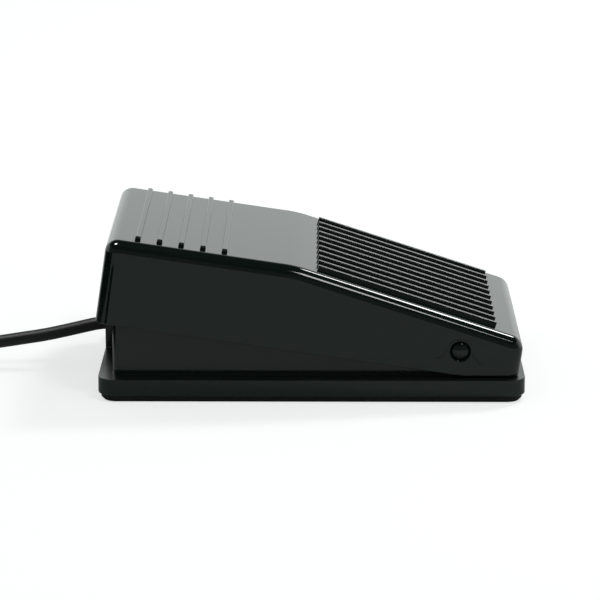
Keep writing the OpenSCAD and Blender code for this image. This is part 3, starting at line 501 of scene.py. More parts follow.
cord.data.materials.append(plastics["cord_vinyl_black"])
print("moulded finishes:", len(plastics))

# %% [markdown]
# The metal pieces are rolled, plated or turned. Each has a fine grain along the way it was
# worked, which a noise stretched along one axis gives, and plated ones have paler blotches.

# %% Metals
BLOTCHES = 14


def worked_metal(name, dark, light, smooth, dull, stretch, grain_size, depth):
    """A metal with a grain that is stretched along an axis, between two colours."""
    finish = Finish(name, Metallic=1.0)
    lines = finish.grain(grain_size, place=finish.stretched(*stretch))
    finish.tint(finish.grain(grain_size * BLOTCHES), dark, light)
    finish.rough(lines, smooth, dull)
    finish.relief(lines, depth)
    return finish.material


metals = {name: worked_metal(name, *values) for name, *values in (
    ("rolled_steel", (0.3, 0.3, 0.31), (0.42, 0.42, 0.43), 0.38, 0.5, (0.06, 1, 1), 0.4, 0.001),
    ("zinc_plate", (0.55, 0.57, 0.6), (0.72, 0.73, 0.74), 0.26, 0.36, (1, 1, 0.3), 0.25, 0.0006),
    ("spring_wire", (0.42, 0.42, 0.43), (0.56, 0.56, 0.57), 0.22, 0.32, (1, 1, 3), 0.3, 0.0006),
    ("drawn_can", (0.58, 0.58, 0.58), (0.7, 0.7, 0.69), 0.2, 0.3, (0.1, 1, 0.2), 0.3, 0.0005),
    ("terminal_brass_sheet", (0.62, 0.44, 0.18), (0.74, 0.56, 0.26), 0.25, 0.35, (1, 1, 0.2),
     0.25, 0.0006),
    ("lever_sheet_steel", (0.52, 0.52, 0.53), (0.66, 0.66, 0.67), 0.22, 0.32, (0.06, 1, 1),
     0.3, 0.0005),
    ("nickel_plate", (0.62, 0.61, 0.59), (0.74, 0.73, 0.71), 0.16, 0.26, (0.08, 1, 1), 0.35, 0.0004),
    ("gold_flash", (0.78, 0.54, 0.2), (0.88, 0.66, 0.3), 0.18, 0.28, (0.1, 1, 1), 0.25, 0.0004))}
print("metals:", len(metals))

# %% [markdown]
# Two pieces on the board are plastic with bare metal on them: the chip's leads lie on the
# board, and a capacitor's sleeve leaves the middle of its can open. They could be split in
# two pieces, but the metal lies at one height, so one finish changes there from plastic to
# metal.

# %% Plastic with bare metal
PLASTIC_ENDS, METAL_STARTS = 0.4, 0.6
CASE_SMOOTH, CASE_DULL, CASE_RELIEF = 0.32, 0.5, 0.003


def part_bare(name, dark, light, metal, level, reach, grain_size):
    """Moulded plastic that is bare metal within reach of a level, in millimetres."""
    finish = Finish(name)
    speckle = finish.grain(grain_size)
    plastic = finish.spread(finish.grain(grain_size * PATCHES), 0, PLASTIC_ENDS)
    bare = finish.more_near(plastic, level, reach, METAL_STARTS)
    finish.tint(bare, dark, light, (0, PLASTIC_ENDS), [(METAL_STARTS, metal)])
    finish.into("Metallic", finish.spread(bare, 0, 1, (PLASTIC_ENDS, METAL_STARTS)))
    finish.rough(speckle, CASE_SMOOTH, CASE_DULL)
    finish.relief(speckle, CASE_RELIEF)
    return finish.material


BOARD_TOP, LEAD_T, LEAD_MARGIN = 9.4, 0.3, 0.02
CAN_R, CAN_HEIGHT, CAN_RECESS, RECESS_MARGIN = 2.5, 6, 0.12, 0.03
chip_finish = part_bare("chip_epoxy", grey(0.012), grey(0.022), (0.62, 0.62, 0.6),
                        BOARD_TOP + LEAD_T / 2, LEAD_T / 2 + LEAD_MARGIN, 0.12)
sleeve_finish = part_bare("capacitor_sleeve_blue", (0.012, 0.02, 0.06), (0.02, 0.03, 0.085),
                          (0.68, 0.68, 0.69), BOARD_TOP + CAN_HEIGHT - CAN_RECESS, RECESS_MARGIN, 0.4)
print("part bare:", chip_finish.name, sleeve_finish.name)

# %% [markdown]
# Two finishes have a pattern of their own. A circuit board is green because of the lacquer
# over its copper, and the copper's tracks show through as paler lanes. The joints of a brick
# wall run as such lanes do: long ones along the board, with short links across. The tie
# around the cord is a woven strap, so its surface is a grid of small crossings.

# %% Board lacquer
LANE_LENGTH, LANE_PITCH, LANE_WIDTH, LANE_DEPTH = 6.4, 1.3, 0.16, 0.02
lacquer = Finish("board_lacquer_green", Roughness=0.32, Coat_Weight=0.3)
lanes = lacquer.through("ShaderNodeTexBrick", "Vector", lacquer.place, "Fac", Scale=1 / MM,
                        Brick_Width=LANE_LENGTH, Row_Height=LANE_PITCH, Mortar_Size=LANE_WIDTH)
lacquer.tint(lanes, (0.006, 0.075, 0.03), (0.012, 0.14, 0.05))
lacquer.relief(lanes, LANE_DEPTH)
board_finish = lacquer.material
print("board finish:", board_finish.name)

# %% Woven strap
THREAD, THREAD_DEPTH, WAVES_PER_BAND = 0.6, 0.05, 0.314
strap = Finish("woven_strap", Roughness=0.8)
crossing = maths_node(strap.tree, "MULTIPLY")
for direction, socket in zip(("X", "Y"), crossing.inputs):
    threads = add_node(strap.tree, "ShaderNodeTexWave", Scale=WAVES_PER_BAND / (THREAD * MM))
    threads.bands_direction = direction
    strap.link(strap.place, threads.inputs["Vector"])
    strap.link(threads.outputs["Fac"], socket)
strap.tint(crossing.outputs["Value"], grey(0.006), grey(0.016), (0, 1))
strap.relief(crossing.outputs["Value"], THREAD_DEPTH)
strap_finish = strap.material
print("strap finish:", strap_finish.name)

# %% [markdown]
# ## From a rough form to a piece
# A moulded edge is never quite sharp: it always has a small round that catches the light.
# Flats have to stay flat in the shading and rounds have to turn smoothly, and Weighted Normal
# does both when larger faces count for more. Every piece below ends in the same helper, which
# marks the folds that stay sharp, weighs the shading, and puts the piece on its body.

# %% Finish a form
CREASE, SHARP, FLAT = math.radians(38), math.radians(40), math.radians(0.6)
SAME_PLACE, TINY_EDGE = 0.002, 0.001
TO_MM, TO_METRES = Matrix.Scale(1 / MM, 4), Matrix.Scale(MM, 4)


def rough_object(name, form):
    """Put a form into an object that only lasts until its modifiers are applied."""
    mesh = bpy.data.meshes.new(name)
    form.to_mesh(mesh)
    form.free()
    return placed(name, mesh)


def applied_mesh(holder):
    """The mesh of an object with its modifiers applied. The object itself is removed."""
    depsgraph = bpy.context.evaluated_depsgraph_get()
    mesh = bpy.data.meshes.new_from_object(
        holder.evaluated_get(depsgraph), preserve_all_data_layers=True, depsgraph=depsgraph)
    bpy.data.objects.remove(holder)
    return mesh


def made_piece(name, form, finish, body, slot_name, *nodes):
    """Turn a form in metres into a piece with one finish, riding a body in place of nodes."""
    for face in form.faces:
        face.smooth = True
    for edge in form.edges:
        edge.smooth = edge.calc_face_angle(0) < CREASE
    holder = rough_object(name + "_rough", form)
    holder.modifiers.new("flats", "WEIGHTED_NORMAL").keep_sharp = True
    mesh = applied_mesh(holder)
    mesh.name = name
    mesh.materials.clear()
    mesh.materials.append(finish)
    piece = placed(name, mesh)
    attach(piece, body)
    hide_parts(*nodes)
    print(name + ":", len(mesh.polygons), "faces,", [round(v / MM, 1) for v in piece.dimensions], "mm")
    return piece


def rounded(form, edges, width, steps, clamp=False):
    """Round some edges of a form over a width."""
    bmesh.ops.bevel(form, geom=edges, offset=width, segments=steps, profile=0.5,
                    affect="EDGES", clamp_overlap=clamp)


def sharp_edges(form, fold):
    """The edges of a form that fold by more than an angle."""
    return [edge for edge in form.edges if edge.calc_face_angle(0) > fold]


def softened(node, width):
    """A form with the shape of a model piece, its sharp edges rounded over a width in mm."""
    form = bmesh.new()
    form.from_mesh(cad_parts[node].data)
    form.transform(TO_MM)
    bmesh.ops.remove_doubles(form, verts=form.verts, dist=SAME_PLACE)
    bmesh.ops.dissolve_limit(form, angle_limit=FLAT, verts=form.verts, edges=form.edges)
    rounded(form, sharp_edges(form, SHARP), width, steps=2, clamp=True)
    bmesh.ops.dissolve_degenerate(form, dist=TINY_EDGE, edges=form.edges)
    form.transform(TO_METRES)
    return form

# %% [markdown]
# Turned parts, such as the pins and the cover's posts, are all made by one helper that turns
# an outline about an axis. Flat-sided ones, such as the cover itself, are made by another,
# which draws a side view out to a width.

# %% Turned and drawn-out forms
def turned(form, outline, place, sides=48):
    """Add a solid that an outline of radius and height, closed on itself, sweeps about Z."""
    angles = [2 * math.pi * i / sides for i in range(sides)]
    rings = []
    for radius, z in outline:
        if radius:
            ring = [form.verts.new(place @ Vector((radius * math.cos(a), radius * math.sin(a), z)))
                    for a in angles]
        else:
            ring = [form.verts.new(place @ Vector((0, 0, z)))] * sides
        rings.append(ring)
    for low, high in zip(rings, rings[1:] + rings[:1]):
        for i in range(sides):
            k = (i + 1) % sides
            corners = list(dict.fromkeys((low[i], low[k], high[k], high[i])))
            if len(corners) > 2:
                form.faces.new(corners)


def chamfered_foot(radius, z, chamfer):
    """The start of an outline to turn: a foot at a height, with a chamfer around it."""
    return [(0, z), (radius - chamfer, z), (radius, z + chamfer)]


def drawn_out(form, outline, middle_y, width, open_sides=0):
    """Add a form with a side view of (x, z) points, drawn out across the pedal to a width.

    It is a solid, unless some of its first sides are left open.
    """
    near_side = [form.verts.new((x, middle_y - width / 2, z)) for x, z in outline]
    far_side = [form.verts.new((x, middle_y + width / 2, z)) for x, z in outline]
    form.faces.new(near_side)
    form.faces.new(far_side[::-1])
    for i in range(open_sides, len(outline)):
        k = (i + 1) % len(outline)
        form.faces.new((near_side[i], far_side[i], far_side[k], near_side[k]))
    return near_side, far_side


def block(x_from, x_to, z_from, z_to):
    """The side view of a block."""
    return [(x_from, z_from), (x_to, z_from), (x_to, z_to), (x_from, z_to)]


def faced_out(form):
    """Turn all faces of a form outwards."""
    bmesh.ops.recalc_face_normals(form, faces=form.faces)


def to_side(side):
    """The turn that lays an upright form across the pedal, pointing to one side."""
    return Matrix.Rotation(-side * math.pi / 2, 4, "X")

# %% [markdown]
# ## Base
# The base is the low plinth with its upstand, and under it a rubber pad. Both keep the shape
# of the model, and their edges get the small round that a mould leaves.

# %% Base and pad
made_piece("base_shell", softened("base_housing", 0.25), base_finish,
           "base", "base_gloss_black", "base_housing")
made_piece("foot_pad", softened("anti_slip_pad", 0.3), plastics["pad_rubber_dull"],
           "base", "pad_rubber", "anti_slip_pad")

# %% [markdown]
# ## Cover
# The cover is the piece that takes the most skill: one moulded shell, open below, whose top is
# level at the rear and slopes down to the front. It could be carved from a block, but a shell
# of even wall is what a mould makes: the outer skin comes first, from the side view drawn on
# both sides, then its edges are rounded, and Solidify gives it the wall inwards. It is drawn
# in its own frame, with the pins at the origin and the rear level, and tilted at the end.

# %% Measures of the cover
PINS = Vector((35.4, 0, 12.25))
TILT, SLOPE = math.radians(8.4), math.radians(9.8)
SKIRT_Z, LEVEL_X, LEVEL_Z = -5.9, 1.597, -3.943
COVER_OVERHANG = 0.5
COVER_REAR = (REAR_X - COVER_OVERHANG - PINS.x - SKIRT_Z * math.sin(TILT)) / math.cos(TILT)
COVER_FRONT, COVER_Y, COVER_TOP = 14.85, 32.8, 14.45
BREAK_X, BREAK_ROUND = -41.7, 2.2
COVER_WALL, COVER_EDGE_R, COVER_RIM_R = 2, 3.0, 0.2
NOTCH_Y, NOTCH_Z = 4.4, 1.84
BORE_R, BORE_CHAMFER = 2.16, 0.4
tilted = Matrix.Translation(PINS) @ Matrix.Rotation(TILT, 4, "Y")


def top_z(x):
    """Height of the cover's top at a place along it, in the cover's own frame."""
    return COVER_TOP - max(0, x - BREAK_X) * math.tan(SLOPE)


print("cover:", round(COVER_FRONT - COVER_REAR, 1), "mm long,", 2 * COVER_Y, "mm wide")

# %% Outer skin with rounded edges
SKIRT_SIDES = 2
side_view = [(COVER_REAR, SKIRT_Z), (LEVEL_X, SKIRT_Z), (COVER_FRONT, LEVEL_Z),
             (COVER_FRONT, top_z(COVER_FRONT)), (BREAK_X, COVER_TOP), (COVER_REAR, COVER_TOP)]
skin = bmesh.new()
near, far = drawn_out(skin, side_view, 0, 2 * COVER_Y, open_sides=SKIRT_SIDES)
at_break = side_view.index((BREAK_X, COVER_TOP))
soft_break = [edge for edge in skin.edges if {near[at_break], far[at_break]} == set(edge.verts)]
rounded(skin, soft_break, BREAK_ROUND, steps=4)
rounded(skin, sharp_edges(skin, SHARP), COVER_EDGE_R, steps=10)
print("cover skin:", len(skin.faces), "faces")

# %% [markdown]
# Each pin is a round bar with a domed end that shows in the side of the cover. A ball cut off
# by the bar would leave facets where it is flattest, and gloss shows those at once, so the
# whole pin is turned from one outline.

# %% Pins
PIN_R, PIN_START, PIN_SHOULDER, PIN_EDGE = 2.1, 26.3, 32.4, 0.15
DOME_H, DOME_STEPS = 0.8, 16
dome_r = (PIN_R ** 2 + DOME_H ** 2) / (2 * DOME_H)
dome_angle = math.asin(PIN_R / dome_r) - PIN_EDGE / dome_r
dome_tip = PIN_SHOULDER + DOME_H
dome = [(dome_r * math.sin(a), dome_tip - dome_r * (1 - math.cos(a)))
        for a in (dome_angle * (1 - i / DOME_STEPS) for i in range(DOME_STEPS))]
pin_outline = (chamfered_foot(PIN_R, PIN_START, PIN_EDGE)
               + [(PIN_R, PIN_SHOULDER - PIN_EDGE)] + dome + [(0, dome_tip)])
for side_name, side in (("left", -1), ("right", 1)):
    pin = bmesh.new()
    turned(pin, pin_outline, Matrix.Translation(PINS) @ to_side(side))
    faced_out(pin)
    pin.transform(TO_METRES)
    made_piece("pin_" + side_name, pin, pin_finish, "base", "pin_black", "hinge_pin_" + side_name)

# %% [markdown]
# The cover has a notch at its rear, so that it clears the cord when it is pressed, and a hole
# for each pin with a small chamfer around it. Both are cut out of the shell by forms that
# reach past it on the outside, because a cutter that ends level with a wall leaves a skin.

# %% Cutters for the cord's notch and the pin holes
NOTCH_PAST, NOTCH_DEPTH, BORE_DEPTH = 2, 4, 6
cutters = bmesh.new()
notch = block(COVER_REAR - NOTCH_PAST, COVER_REAR + NOTCH_DEPTH, SKIRT_Z - NOTCH_PAST, NOTCH_Z)
drawn_out(cutters, notch, 0, 2 * NOTCH_Y)
bore_outline = [(0, -BORE_DEPTH), (BORE_R, -BORE_DEPTH), (BORE_R, -BORE_CHAMFER),
                (BORE_R + BORE_CHAMFER, 0), (BORE_R + 2 * BORE_CHAMFER, BORE_CHAMFER),
                (0, BORE_CHAMFER)]
for side in (-1, 1):
    turned(cutters, bore_outline, Matrix.Translation((0, side * COVER_Y, 0)) @ to_side(side))
faced_out(cutters)
print("cutters:", len(cutters.faces), "faces")

# %% Wall, notch and holes
def applied(holder):
    """The form of an object with its modifiers applied. The object itself is removed."""
    mesh = applied_mesh(holder)
    form = bmesh.new()
    form.from_mesh(mesh)
    bpy.data.meshes.remove(mesh)
    return form


def cut_out(form, openings, wall=0):
    """A form without what lies in the openings. A wall thicker than 0 hollows it first."""
    holder, cutter = rough_object("to_cut", form), rough_object("cutter", openings)
    if wall:
        hollow = holder.modifiers.new("wall", "SOLIDIFY")
        hollow.thickness, hollow.offset, hollow.use_even_offset = wall, -1, True
    cut = holder.modifiers.new("cut", "BOOLEAN")
    cut.operation, cut.solver, cut.object = "DIFFERENCE", "EXACT", cutter
    result = applied(holder)
    bpy.data.objects.remove(cutter)
    bmesh.ops.remove_doubles(result, verts=result.verts, dist=TINY_EDGE)
    return result


RIM_FOLD = math.radians(60)
cover_form = cut_out(skin, cutters, COVER_WALL)
rounded(cover_form, sharp_edges(cover_form, RIM_FOLD), COVER_RIM_R, steps=2, clamp=True)
print("cover shell:", len(cover_form.faces), "faces")

# %% [markdown]
# Inside the shell are the parts that work: two stiffeners along it, two posts that land on the
# base's stops, the striker above the switch's lever, the spring's seat and a thrust ring round
# each pin. All are simple solids that sink a little into the shell's inner face.

# %% Working parts inside the cover
SINK, RIB_FIRST = 0.5, 7.3
STIFFENER_Y, STIFFENER_T, STIFFENER_DROP, STIFFENER_END = 15.5, 1.4, 3, 2.2
POST_X, POST_Y, POST_R, POST_FOOT, POST_CHAMFER = -73.4, 20, 2.5, -4.16, 0.3
STRIKER_X, STRIKER_Z, STRIKER_R, STRIKER_W, STRIKER_STEPS = -41.12, 8.73, 1, 2.4, 8
SEAT_X, SEAT_Z, SEAT_R, SEAT_ROOT_X = -28, 32.0, 6.3, -67
SEAT_POST_R, SEAT_POST_H, SEAT_CHAMFER = 3.9, 4, 0.4
RING_R, RING_Y = 4.2, 30.6


def under_z(x):
    """Height of the shell's inner face under the top."""
    return top_z(x) - COVER_WALL * (1 if x < BREAK_X else 1 / math.cos(SLOPE))


inner = bmesh.new()
stiffener_xs = [COVER_REAR + RIB_FIRST, BREAK_X, STIFFENER_END]
stiffener = [(x, under_z(x) - STIFFENER_DROP) for x in stiffener_xs]
stiffener += [(x, under_z(x) + SINK) for x in stiffener_xs[::-1]]
post_top, ring_root = under_z(POST_X) + SINK, COVER_Y - COVER_WALL + SINK
post = chamfered_foot(POST_R, POST_FOOT, POST_CHAMFER) + [(POST_R, post_top), (0, post_top)]
ring = [(BORE_R, RING_Y), (RING_R, RING_Y), (RING_R, ring_root), (BORE_R, ring_root)]
for side in (-1, 1):
    drawn_out(inner, stiffener, side * STIFFENER_Y, STIFFENER_T)
    turned(inner, post, Matrix.Translation((POST_X, side * POST_Y, 0)), sides=32)
    turned(inner, ring, to_side(side))
tip = [(STRIKER_X + STRIKER_R * math.cos(a), STRIKER_Z + STRIKER_R * math.sin(a))
       for a in (math.pi * (1 + i / STRIKER_STEPS) for i in range(STRIKER_STEPS + 1))]
striker_root = under_z(STRIKER_X) + SINK
striker = tip + [(STRIKER_X + STRIKER_R, striker_root), (STRIKER_X - STRIKER_R, striker_root)]
drawn_out(inner, striker, 0, STRIKER_W)
seat_root = (tilted @ Vector((SEAT_ROOT_X, 0, COVER_TOP - COVER_WALL / 2))).z
seat = chamfered_foot(SEAT_POST_R, SEAT_Z - SEAT_POST_H, SEAT_CHAMFER)
seat += [(SEAT_POST_R, SEAT_Z), (SEAT_R, SEAT_Z), (SEAT_R, seat_root), (0, seat_root)]
turned(inner, seat, tilted.inverted() @ Matrix.Translation((SEAT_X, 0, 0)))
faced_out(inner)
print("working parts:", len(inner.faces), "faces")

# %% [markdown]
# The foot is kept from slipping by eleven ridges along the slope and five ribs across the
# level rear. Each set is one bar repeated at a pitch, so Geometry Nodes makes both from the
# same tree: a line, a tapered outline swept along it, and copies in a row. The tree's inputs
# hold the sizes of each set.

# %% A row of bars in Geometry Nodes
SOCKET_KINDS = {"Count": "NodeSocketInt", "Finish": "NodeSocketMaterial"}


def form_tree(name, *inputs):
    """A new tree with named inputs for sizes and a finish, and the node that gives them."""
    tree = bpy.data.node_groups.new(name, "GeometryNodeTree")
    for socket in (*inputs, "Finish"):
        kind = SOCKET_KINDS.get(socket, "NodeSocketFloat")
        tree.interface.new_socket(socket, in_out="INPUT", socket_type=kind)
    tree.interface.new_socket("Form", in_out="OUTPUT", socket_type="NodeSocketGeometry")
    return tree, add_node(tree, "NodeGroupInput")


def painted(tree, sizes, node, output):
    """End a tree: make what comes out of a node real, and give it the finish."""
    real = add_node(tree, "GeometryNodeRealizeInstances")
    paint = add_node(tree, "GeometryNodeSetMaterial")
    linked(tree, (node, output, real, "Geometry"), (real, "Geometry", paint, "Geometry"),
           (sizes, "Finish", paint, "Material"),
           (paint, "Geometry", add_node(tree, "NodeGroupOutput"), "Form"))
    return tree


def row_of_bars_tree():
    """Bars of a tapered section along X, standing on Z = 0, in a row along Y about the origin."""
    tree, sizes = form_tree("row_of_bars", "Count", "Pitch", "Length", "Foot Width", "Top Width",
                            "Height")
    line_end, lift, row_start, row_step = (
        add_node(tree, "ShaderNodeCombineXYZ") for _ in range(4))
    line = add_node(tree, "GeometryNodeCurvePrimitiveLine")
    section = add_node(tree, "GeometryNodeCurvePrimitiveQuadrilateral")
    section.mode = "TRAPEZOID"
    section.inputs["Offset"].default_value = 0
    bar = add_node(tree, "GeometryNodeCurveToMesh", Fill_Caps=True)
    linked(tree, (sizes, "Length", line_end, "X"), (line_end, "Vector", line, "End"),
           (sizes, "Height", section, "Height"), (sizes, "Top Width", section, "Bottom Width"),
           (sizes, "Foot Width", section, "Top Width"), (line, "Curve", bar, "Curve"),
           (section, "Curve", bar, "Profile Curve"))

    half_height = maths_node(tree, "MULTIPLY", None, 0.5)
    stand = add_node(tree, "GeometryNodeTransform")
    linked(tree, (sizes, "Height", half_height, 0), (half_height, "Value", lift, "Z"),
           (bar, "Mesh", stand, "Geometry"), (lift, "Vector", stand, "Translation"))

    gaps = maths_node(tree, "SUBTRACT", None, 1)
    row_width = maths_node(tree, "MULTIPLY")
    half_back = maths_node(tree, "MULTIPLY", None, -0.5)
    row = add_node(tree, "GeometryNodeMeshLine")
    copies = add_node(tree, "GeometryNodeInstanceOnPoints")
    linked(tree, (sizes, "Count", gaps, 0), (gaps, "Value", row_width, 0),
           (sizes, "Pitch", row_width, 1), (row_width, "Value", half_back, 0),
           (half_back, "Value", row_start, "Y"), (sizes, "Pitch", row_step, "Y"),
           (sizes, "Count", row, "Count"), (row_start, "Vector", row, "Start Location"),
           (row_step, "Vector", row, "Offset"), (row, "Mesh", copies, "Points"),
           (stand, "Geometry", copies, "Instance"))
    return painted(tree, sizes, copies, "Instances")


def from_tree(tree, **sizes):
    """The form that a tree makes with its named inputs set."""
    holder = placed(tree.name, bpy.data.meshes.new(tree.name))
    nodes = holder.modifiers.new("nodes", "NODES")
    nodes.node_group = tree
    for item in tree.interface.items_tree:
        if item.in_out == "INPUT":
            nodes[item.identifier] = sizes[item.name.replace(" ", "_")]
    return applied(holder)

# %% Ridges and ribs
RIDGE_START, RIDGE_HEIGHT = 5.4, 1.1
RIB_COUNT, RIB_PITCH, RIB_LENGTH, RIB_HEIGHT = 5, 5.2, 56, 1.0
bars_tree = row_of_bars_tree()


def cover_bars(edge_r, **sizes):
    """A row of bars for the cover, with the edges along the bars rounded."""
    bars = from_tree(bars_tree, Finish=cover_finish, **sizes)
    along = [edge for edge in bars.edges if abs((edge.verts[0].co - edge.verts[1].co).x) > SINK]
    rounded(bars, along, edge_r, steps=3)
    return bars


ridges = cover_bars(edge_r=0.12, Count=11, Pitch=5.37, Length=44.8, Foot_Width=1.54, Top_Width=1.1,
                    Height=RIDGE_HEIGHT + SINK)
ribs = cover_bars(edge_r=0.25, Count=RIB_COUNT, Pitch=RIB_PITCH, Length=RIB_LENGTH,
                  Foot_Width=1.5, Top_Width=1.2, Height=RIB_HEIGHT + SINK)
on_slope = (Matrix.Translation((BREAK_X, 0, COVER_TOP)) @ Matrix.Rotation(SLOPE, 4, "Y")
            @ Matrix.Translation((RIDGE_START, 0, -SINK)))
rib_middle = COVER_REAR + RIB_FIRST + (RIB_COUNT - 1) * RIB_PITCH / 2
on_rear = (Matrix.Translation((rib_middle, -RIB_LENGTH / 2, COVER_TOP - SINK))
           @ Matrix.Rotation(math.pi / 2, 4, "Z"))
ridges.transform(on_slope)
ribs.transform(on_rear)
print("ridges:", len(ridges.faces), "faces; ribs:", len(ribs.faces), "faces")

# %% [markdown]
# A faint raised line runs around each pin on the cover's side, where two halves of the mould
# met. It is no more than a few hundredths of a millimetre high, but gloss shows it. A thin
# tube that lies almost wholly in the wall gives it. Then all parts of the cover become one
# piece, which is tilted to where the spring holds it.

# %% Join the cover and tilt it
MOULD_LINE_D, MOULD_LINE_SINK, MOULD_LINE_PARTS = 0.44, 0.18, 5
mould_route = [(-5.7, -1.6), (-4.85, -1.45), (-4.2, -0.95), (-3.6, -0.2), (-2.97, 0.84),
               (-2.35, 1.86), (-1.49, 2.58), (-0.12, 2.9), (1.36, 2.55), (2.35, 1.73),
               (2.8, -0.2), (3.34, -1.33), (4.2, -2.73), (4.58, -3.1), (5.1, -3.25)]


def join(form, *others):
    """Add other forms to a form."""
    for other in others:
        mesh = bpy.data.meshes.new("joined")
        other.to_mesh(mesh)
        other.free()
        form.from_mesh(mesh)
        bpy.data.meshes.remove(mesh)


mould_lines = []
for side in (-1, 1):
    points = [PINS + Vector((x, side * (COVER_Y - MOULD_LINE_SINK), z)) for x, z in mould_route]
    mould_line = applied(tube_curve("mould_line", smooth_line(points, MOULD_LINE_PARTS), MOULD_LINE_D))
    mould_line.transform(tilted.inverted() @ TO_MM)
    mould_lines.append(mould_line)
join(cover_form, inner, ridges, ribs, *mould_lines)
cover_form.transform(TO_METRES @ tilted)
made_piece("pedal_shell", cover_form, cover_finish, "pedal", "cover_gloss_black", "pedal_cover")

# %% [markdown]
# ## Return spring
# Under the rear of the cover a coil spring pushes it up. A coil follows a rule, so Geometry
# Nodes draws it: a spiral of equal turns with a round section swept along it.

# %% Spring in Geometry Nodes
def spring_tree():
    """A coil of round wire about Z, from Z = 0 up."""
    tree, sizes = form_tree("coil_of_wire", "Turns", "Radius", "Height", "Wire Radius")
    spiral = add_node(tree, "GeometryNodeCurveSpiral", Resolution=40)
    section = add_node(tree, "GeometryNodeCurvePrimitiveCircle", Resolution=12)
    wire = add_node(tree, "GeometryNodeCurveToMesh", Fill_Caps=True)
    linked(tree, (sizes, "Turns", spiral, "Rotations"), (sizes, "Radius", spiral, "Start Radius"),
           (sizes, "Radius", spiral, "End Radius"), (sizes, "Height", spiral, "Height"),
           (sizes, "Wire Radius", section, "Radius"), (spiral, "Curve", wire, "Curve"),
           (section, "Curve", wire, "Profile Curve"))
    return painted(tree, sizes, wire, "Mesh")


SPRING_X, SPRING_FOOT, SPRING_HEIGHT, SPRING_R, SPRING_WIRE = -28, 5.3, 26.4, 5, 1
SPRING_CLEAR = 0.02
spring_form = from_tree(spring_tree(), Turns=8, Radius=SPRING_R,
                        Height=SPRING_HEIGHT - SPRING_WIRE, Wire_Radius=SPRING_WIRE / 2,
                        Finish=metals["spring_wire"])
first_turn = Vector((SPRING_X, 0, SPRING_FOOT + SPRING_WIRE / 2 + SPRING_CLEAR))
spring_form.transform(TO_METRES @ Matrix.Translation(first_turn))
spring_piece = made_piece("coil_spring", spring_form, metals["spring_wire"],
                          "base", "spring_steel", "return_spring")
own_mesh(spring_piece)

# %% [markdown]
# ## Wires and the rest of the inside
# Four thin wires come out of the cord's jacket in a square bunch and spread to a row at the
# connector. They are made as the cord was, from the model's own route, and turned into meshes
# because they are fixed at both ends.

# %% Inner wires
WIRES = ("wire_red", "wire_white", "wire_green", "wire_black")
ROW_MIDDLE = (len(WIRES) - 1) / 2
CONNECTOR_END = Vector((-18, 8.2, 11.9))
BUNCH_PITCH, ROW_PITCH, INNER_WIRE_D, WIRE_PARTS = 1.3, 2, 0.9, 6
wire_steps = [(0, 0, 0), (0.1, 0, 0), (0.22, 0.18, 0.22), (0.34, 0.59, 0.67), (0.45, 0.94, 1.1),
              (0.61, 1.1, 1.33), (0.77, 1.08, 1.22), (0.88, 1.01, 1.06), (1, 1, 1)]
wire_spread = [0, 0, 0.1, 0.25, 0.4, 0.5, 0.65, 1, 1]
for i, node in enumerate(WIRES):
    bunch = Vector((0, i % 2 - 0.5, i // 2 - 0.5)) * BUNCH_PITCH
    in_row = Vector((0, (i % 2 * 2 + i // 2 - ROW_MIDDLE) * ROW_PITCH, 0))
    points = [between(jacket_end, CONNECTOR_END, step) + bunch * (1 - share) + in_row * share
              for step, share in zip(wire_steps, wire_spread)]
    wire_form = applied(tube_curve(node + "_line", smooth_line(points, WIRE_PARTS), INNER_WIRE_D))
    made_piece(node + "_lead", wire_form, plastics[node + "_vinyl"], "base", node, node)

# %% [markdown]
# The plate, the screws, the switch, the chip, the header and the grommet have the model's
# shape, and only their edges are finer: each is rounded over a width in millimetres.

# %% Pieces whose edges are rounded
for node, width, finish, slot_name in (
        ("weight_plate", 0.2, metals["rolled_steel"], "weight_steel"),
        ("plate_screws", 0.1, metals["zinc_plate"], "screw_zinc"),
        ("board_screws", 0.1, metals["zinc_plate"], "screw_zinc"),
        ("switch_housing", 0.15, plastics["switch_case_black"], "switch_black"),
        ("controller_chip", 0.06, chip_finish, "chip_black"),
        ("board_header", 0.12, plastics["connector_nylon"], "nylon_white"),
        ("cord_grommet", 0.2, plastics["grommet_rubber_dull"], "grommet_rubber")):
    made_piece(node + "_form", softened(node, width), finish, "base", slot_name, node)

# %% [markdown]
# Two small pieces get a form of their own. A capacitor is a can that is rolled in near its
# foot, with a sleeve shrunk over its rim. A crimp connector has a hole for each wire and a
# window above each, where the crimped end snaps in.

# %% Capacitors
CAN_XS, CAN_Y = (-2, 4.5), -9
CAN_ROLL, ROLL_Z, ROLL_HALF, ROLL_FLAT = 0.2, 1.0, 0.25, 0.1
CAN_RIM, CAN_RIM_MID, SLEEVE_EDGE = 0.4, 0.12, 0.6
can_top = CAN_HEIGHT - CAN_RECESS
can_outline = chamfered_foot(CAN_R, 0, CAN_ROLL) + [
    (CAN_R, ROLL_Z - ROLL_HALF), (CAN_R - CAN_ROLL, ROLL_Z - ROLL_FLAT),
    (CAN_R - CAN_ROLL, ROLL_Z + ROLL_FLAT), (CAN_R, ROLL_Z + ROLL_HALF),
    (CAN_R, CAN_HEIGHT - CAN_RIM), (CAN_R - CAN_RIM_MID, CAN_HEIGHT - CAN_RIM_MID),
    (CAN_R - CAN_RIM, CAN_HEIGHT), (CAN_R - SLEEVE_EDGE, can_top), (0, can_top)]
cans = bmesh.new()
for x in CAN_XS:
    turned(cans, can_outline, Matrix.Translation((x, CAN_Y, BOARD_TOP)))
faced_out(cans)
cans.transform(TO_METRES)
made_piece("capacitor_cans", cans, sleeve_finish, "base", "capacitor_sleeve", "capacitors")

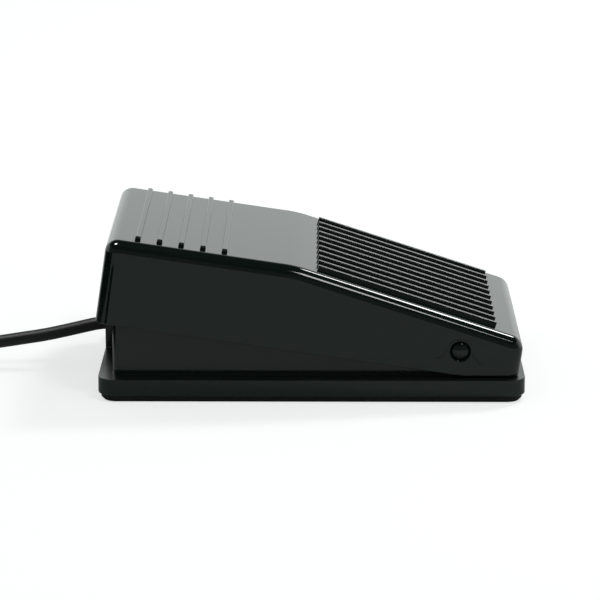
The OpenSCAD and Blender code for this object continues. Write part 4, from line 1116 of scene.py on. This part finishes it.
# %% Connector with holes and windows
WIRE_HOLE_R, WIRE_HOLE_DEPTH = 0.6, 0.8
WINDOW_BACK, WINDOW_LENGTH, WINDOW_WIDTH, WINDOW_DEPTH = 1.0, 1.8, 1.1, 0.5
connector_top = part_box("wire_connector")[1][2] / MM
window_x = CONNECTOR_END.x + WINDOW_BACK
window = block(window_x, window_x + WINDOW_LENGTH,
               connector_top - WINDOW_DEPTH, connector_top + WINDOW_DEPTH)
wire_hole = [(0, -WIRE_HOLE_DEPTH), (WIRE_HOLE_R, -WIRE_HOLE_DEPTH),
             (WIRE_HOLE_R, WIRE_HOLE_DEPTH), (0, WIRE_HOLE_DEPTH)]
openings = bmesh.new()
for i in range(len(WIRES)):
    y = CONNECTOR_END.y + (i - ROW_MIDDLE) * ROW_PITCH
    drawn_out(openings, window, y, WINDOW_WIDTH)
    along_wire = (Matrix.Translation((CONNECTOR_END.x, y, CONNECTOR_END.z))
                  @ Matrix.Rotation(math.pi / 2, 4, "Y"))
    turned(openings, wire_hole, along_wire, sides=24)
faced_out(openings)
connector_form = softened("wire_connector", 0.2)
connector_form.transform(TO_MM)
connector_form = cut_out(connector_form, openings)
connector_form.transform(TO_METRES)
made_piece("wire_connector_form", connector_form, plastics["connector_nylon"],
           "base", "nylon_white", "wire_connector")

# %% [markdown]
# The rest keep the model's own mesh and only get a finish: sheet and drawn parts whose shape is
# complete as it is, the tie, and the pieces of the plug.

# %% Pieces that keep the model's own mesh
kept_finishes = {
    "circuit_board": board_finish, "crystal": metals["drawn_can"],
    "switch_terminals": metals["terminal_brass_sheet"],
    "switch_lever": metals["lever_sheet_steel"], "switch_plunger": plastics["plunger_red"],
    "cord_tie": strap_finish, "plug_grip": plastics["plug_vinyl_black"],
    "plug_shell": metals["nickel_plate"], "plug_tongue": plastics["tongue_white"],
    "plug_contacts": metals["gold_flash"],
}
for node, finish in kept_finishes.items():
    for material_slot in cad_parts[node].material_slots:
        material_slot.material = finish
print("kept pieces:", len(kept_finishes))
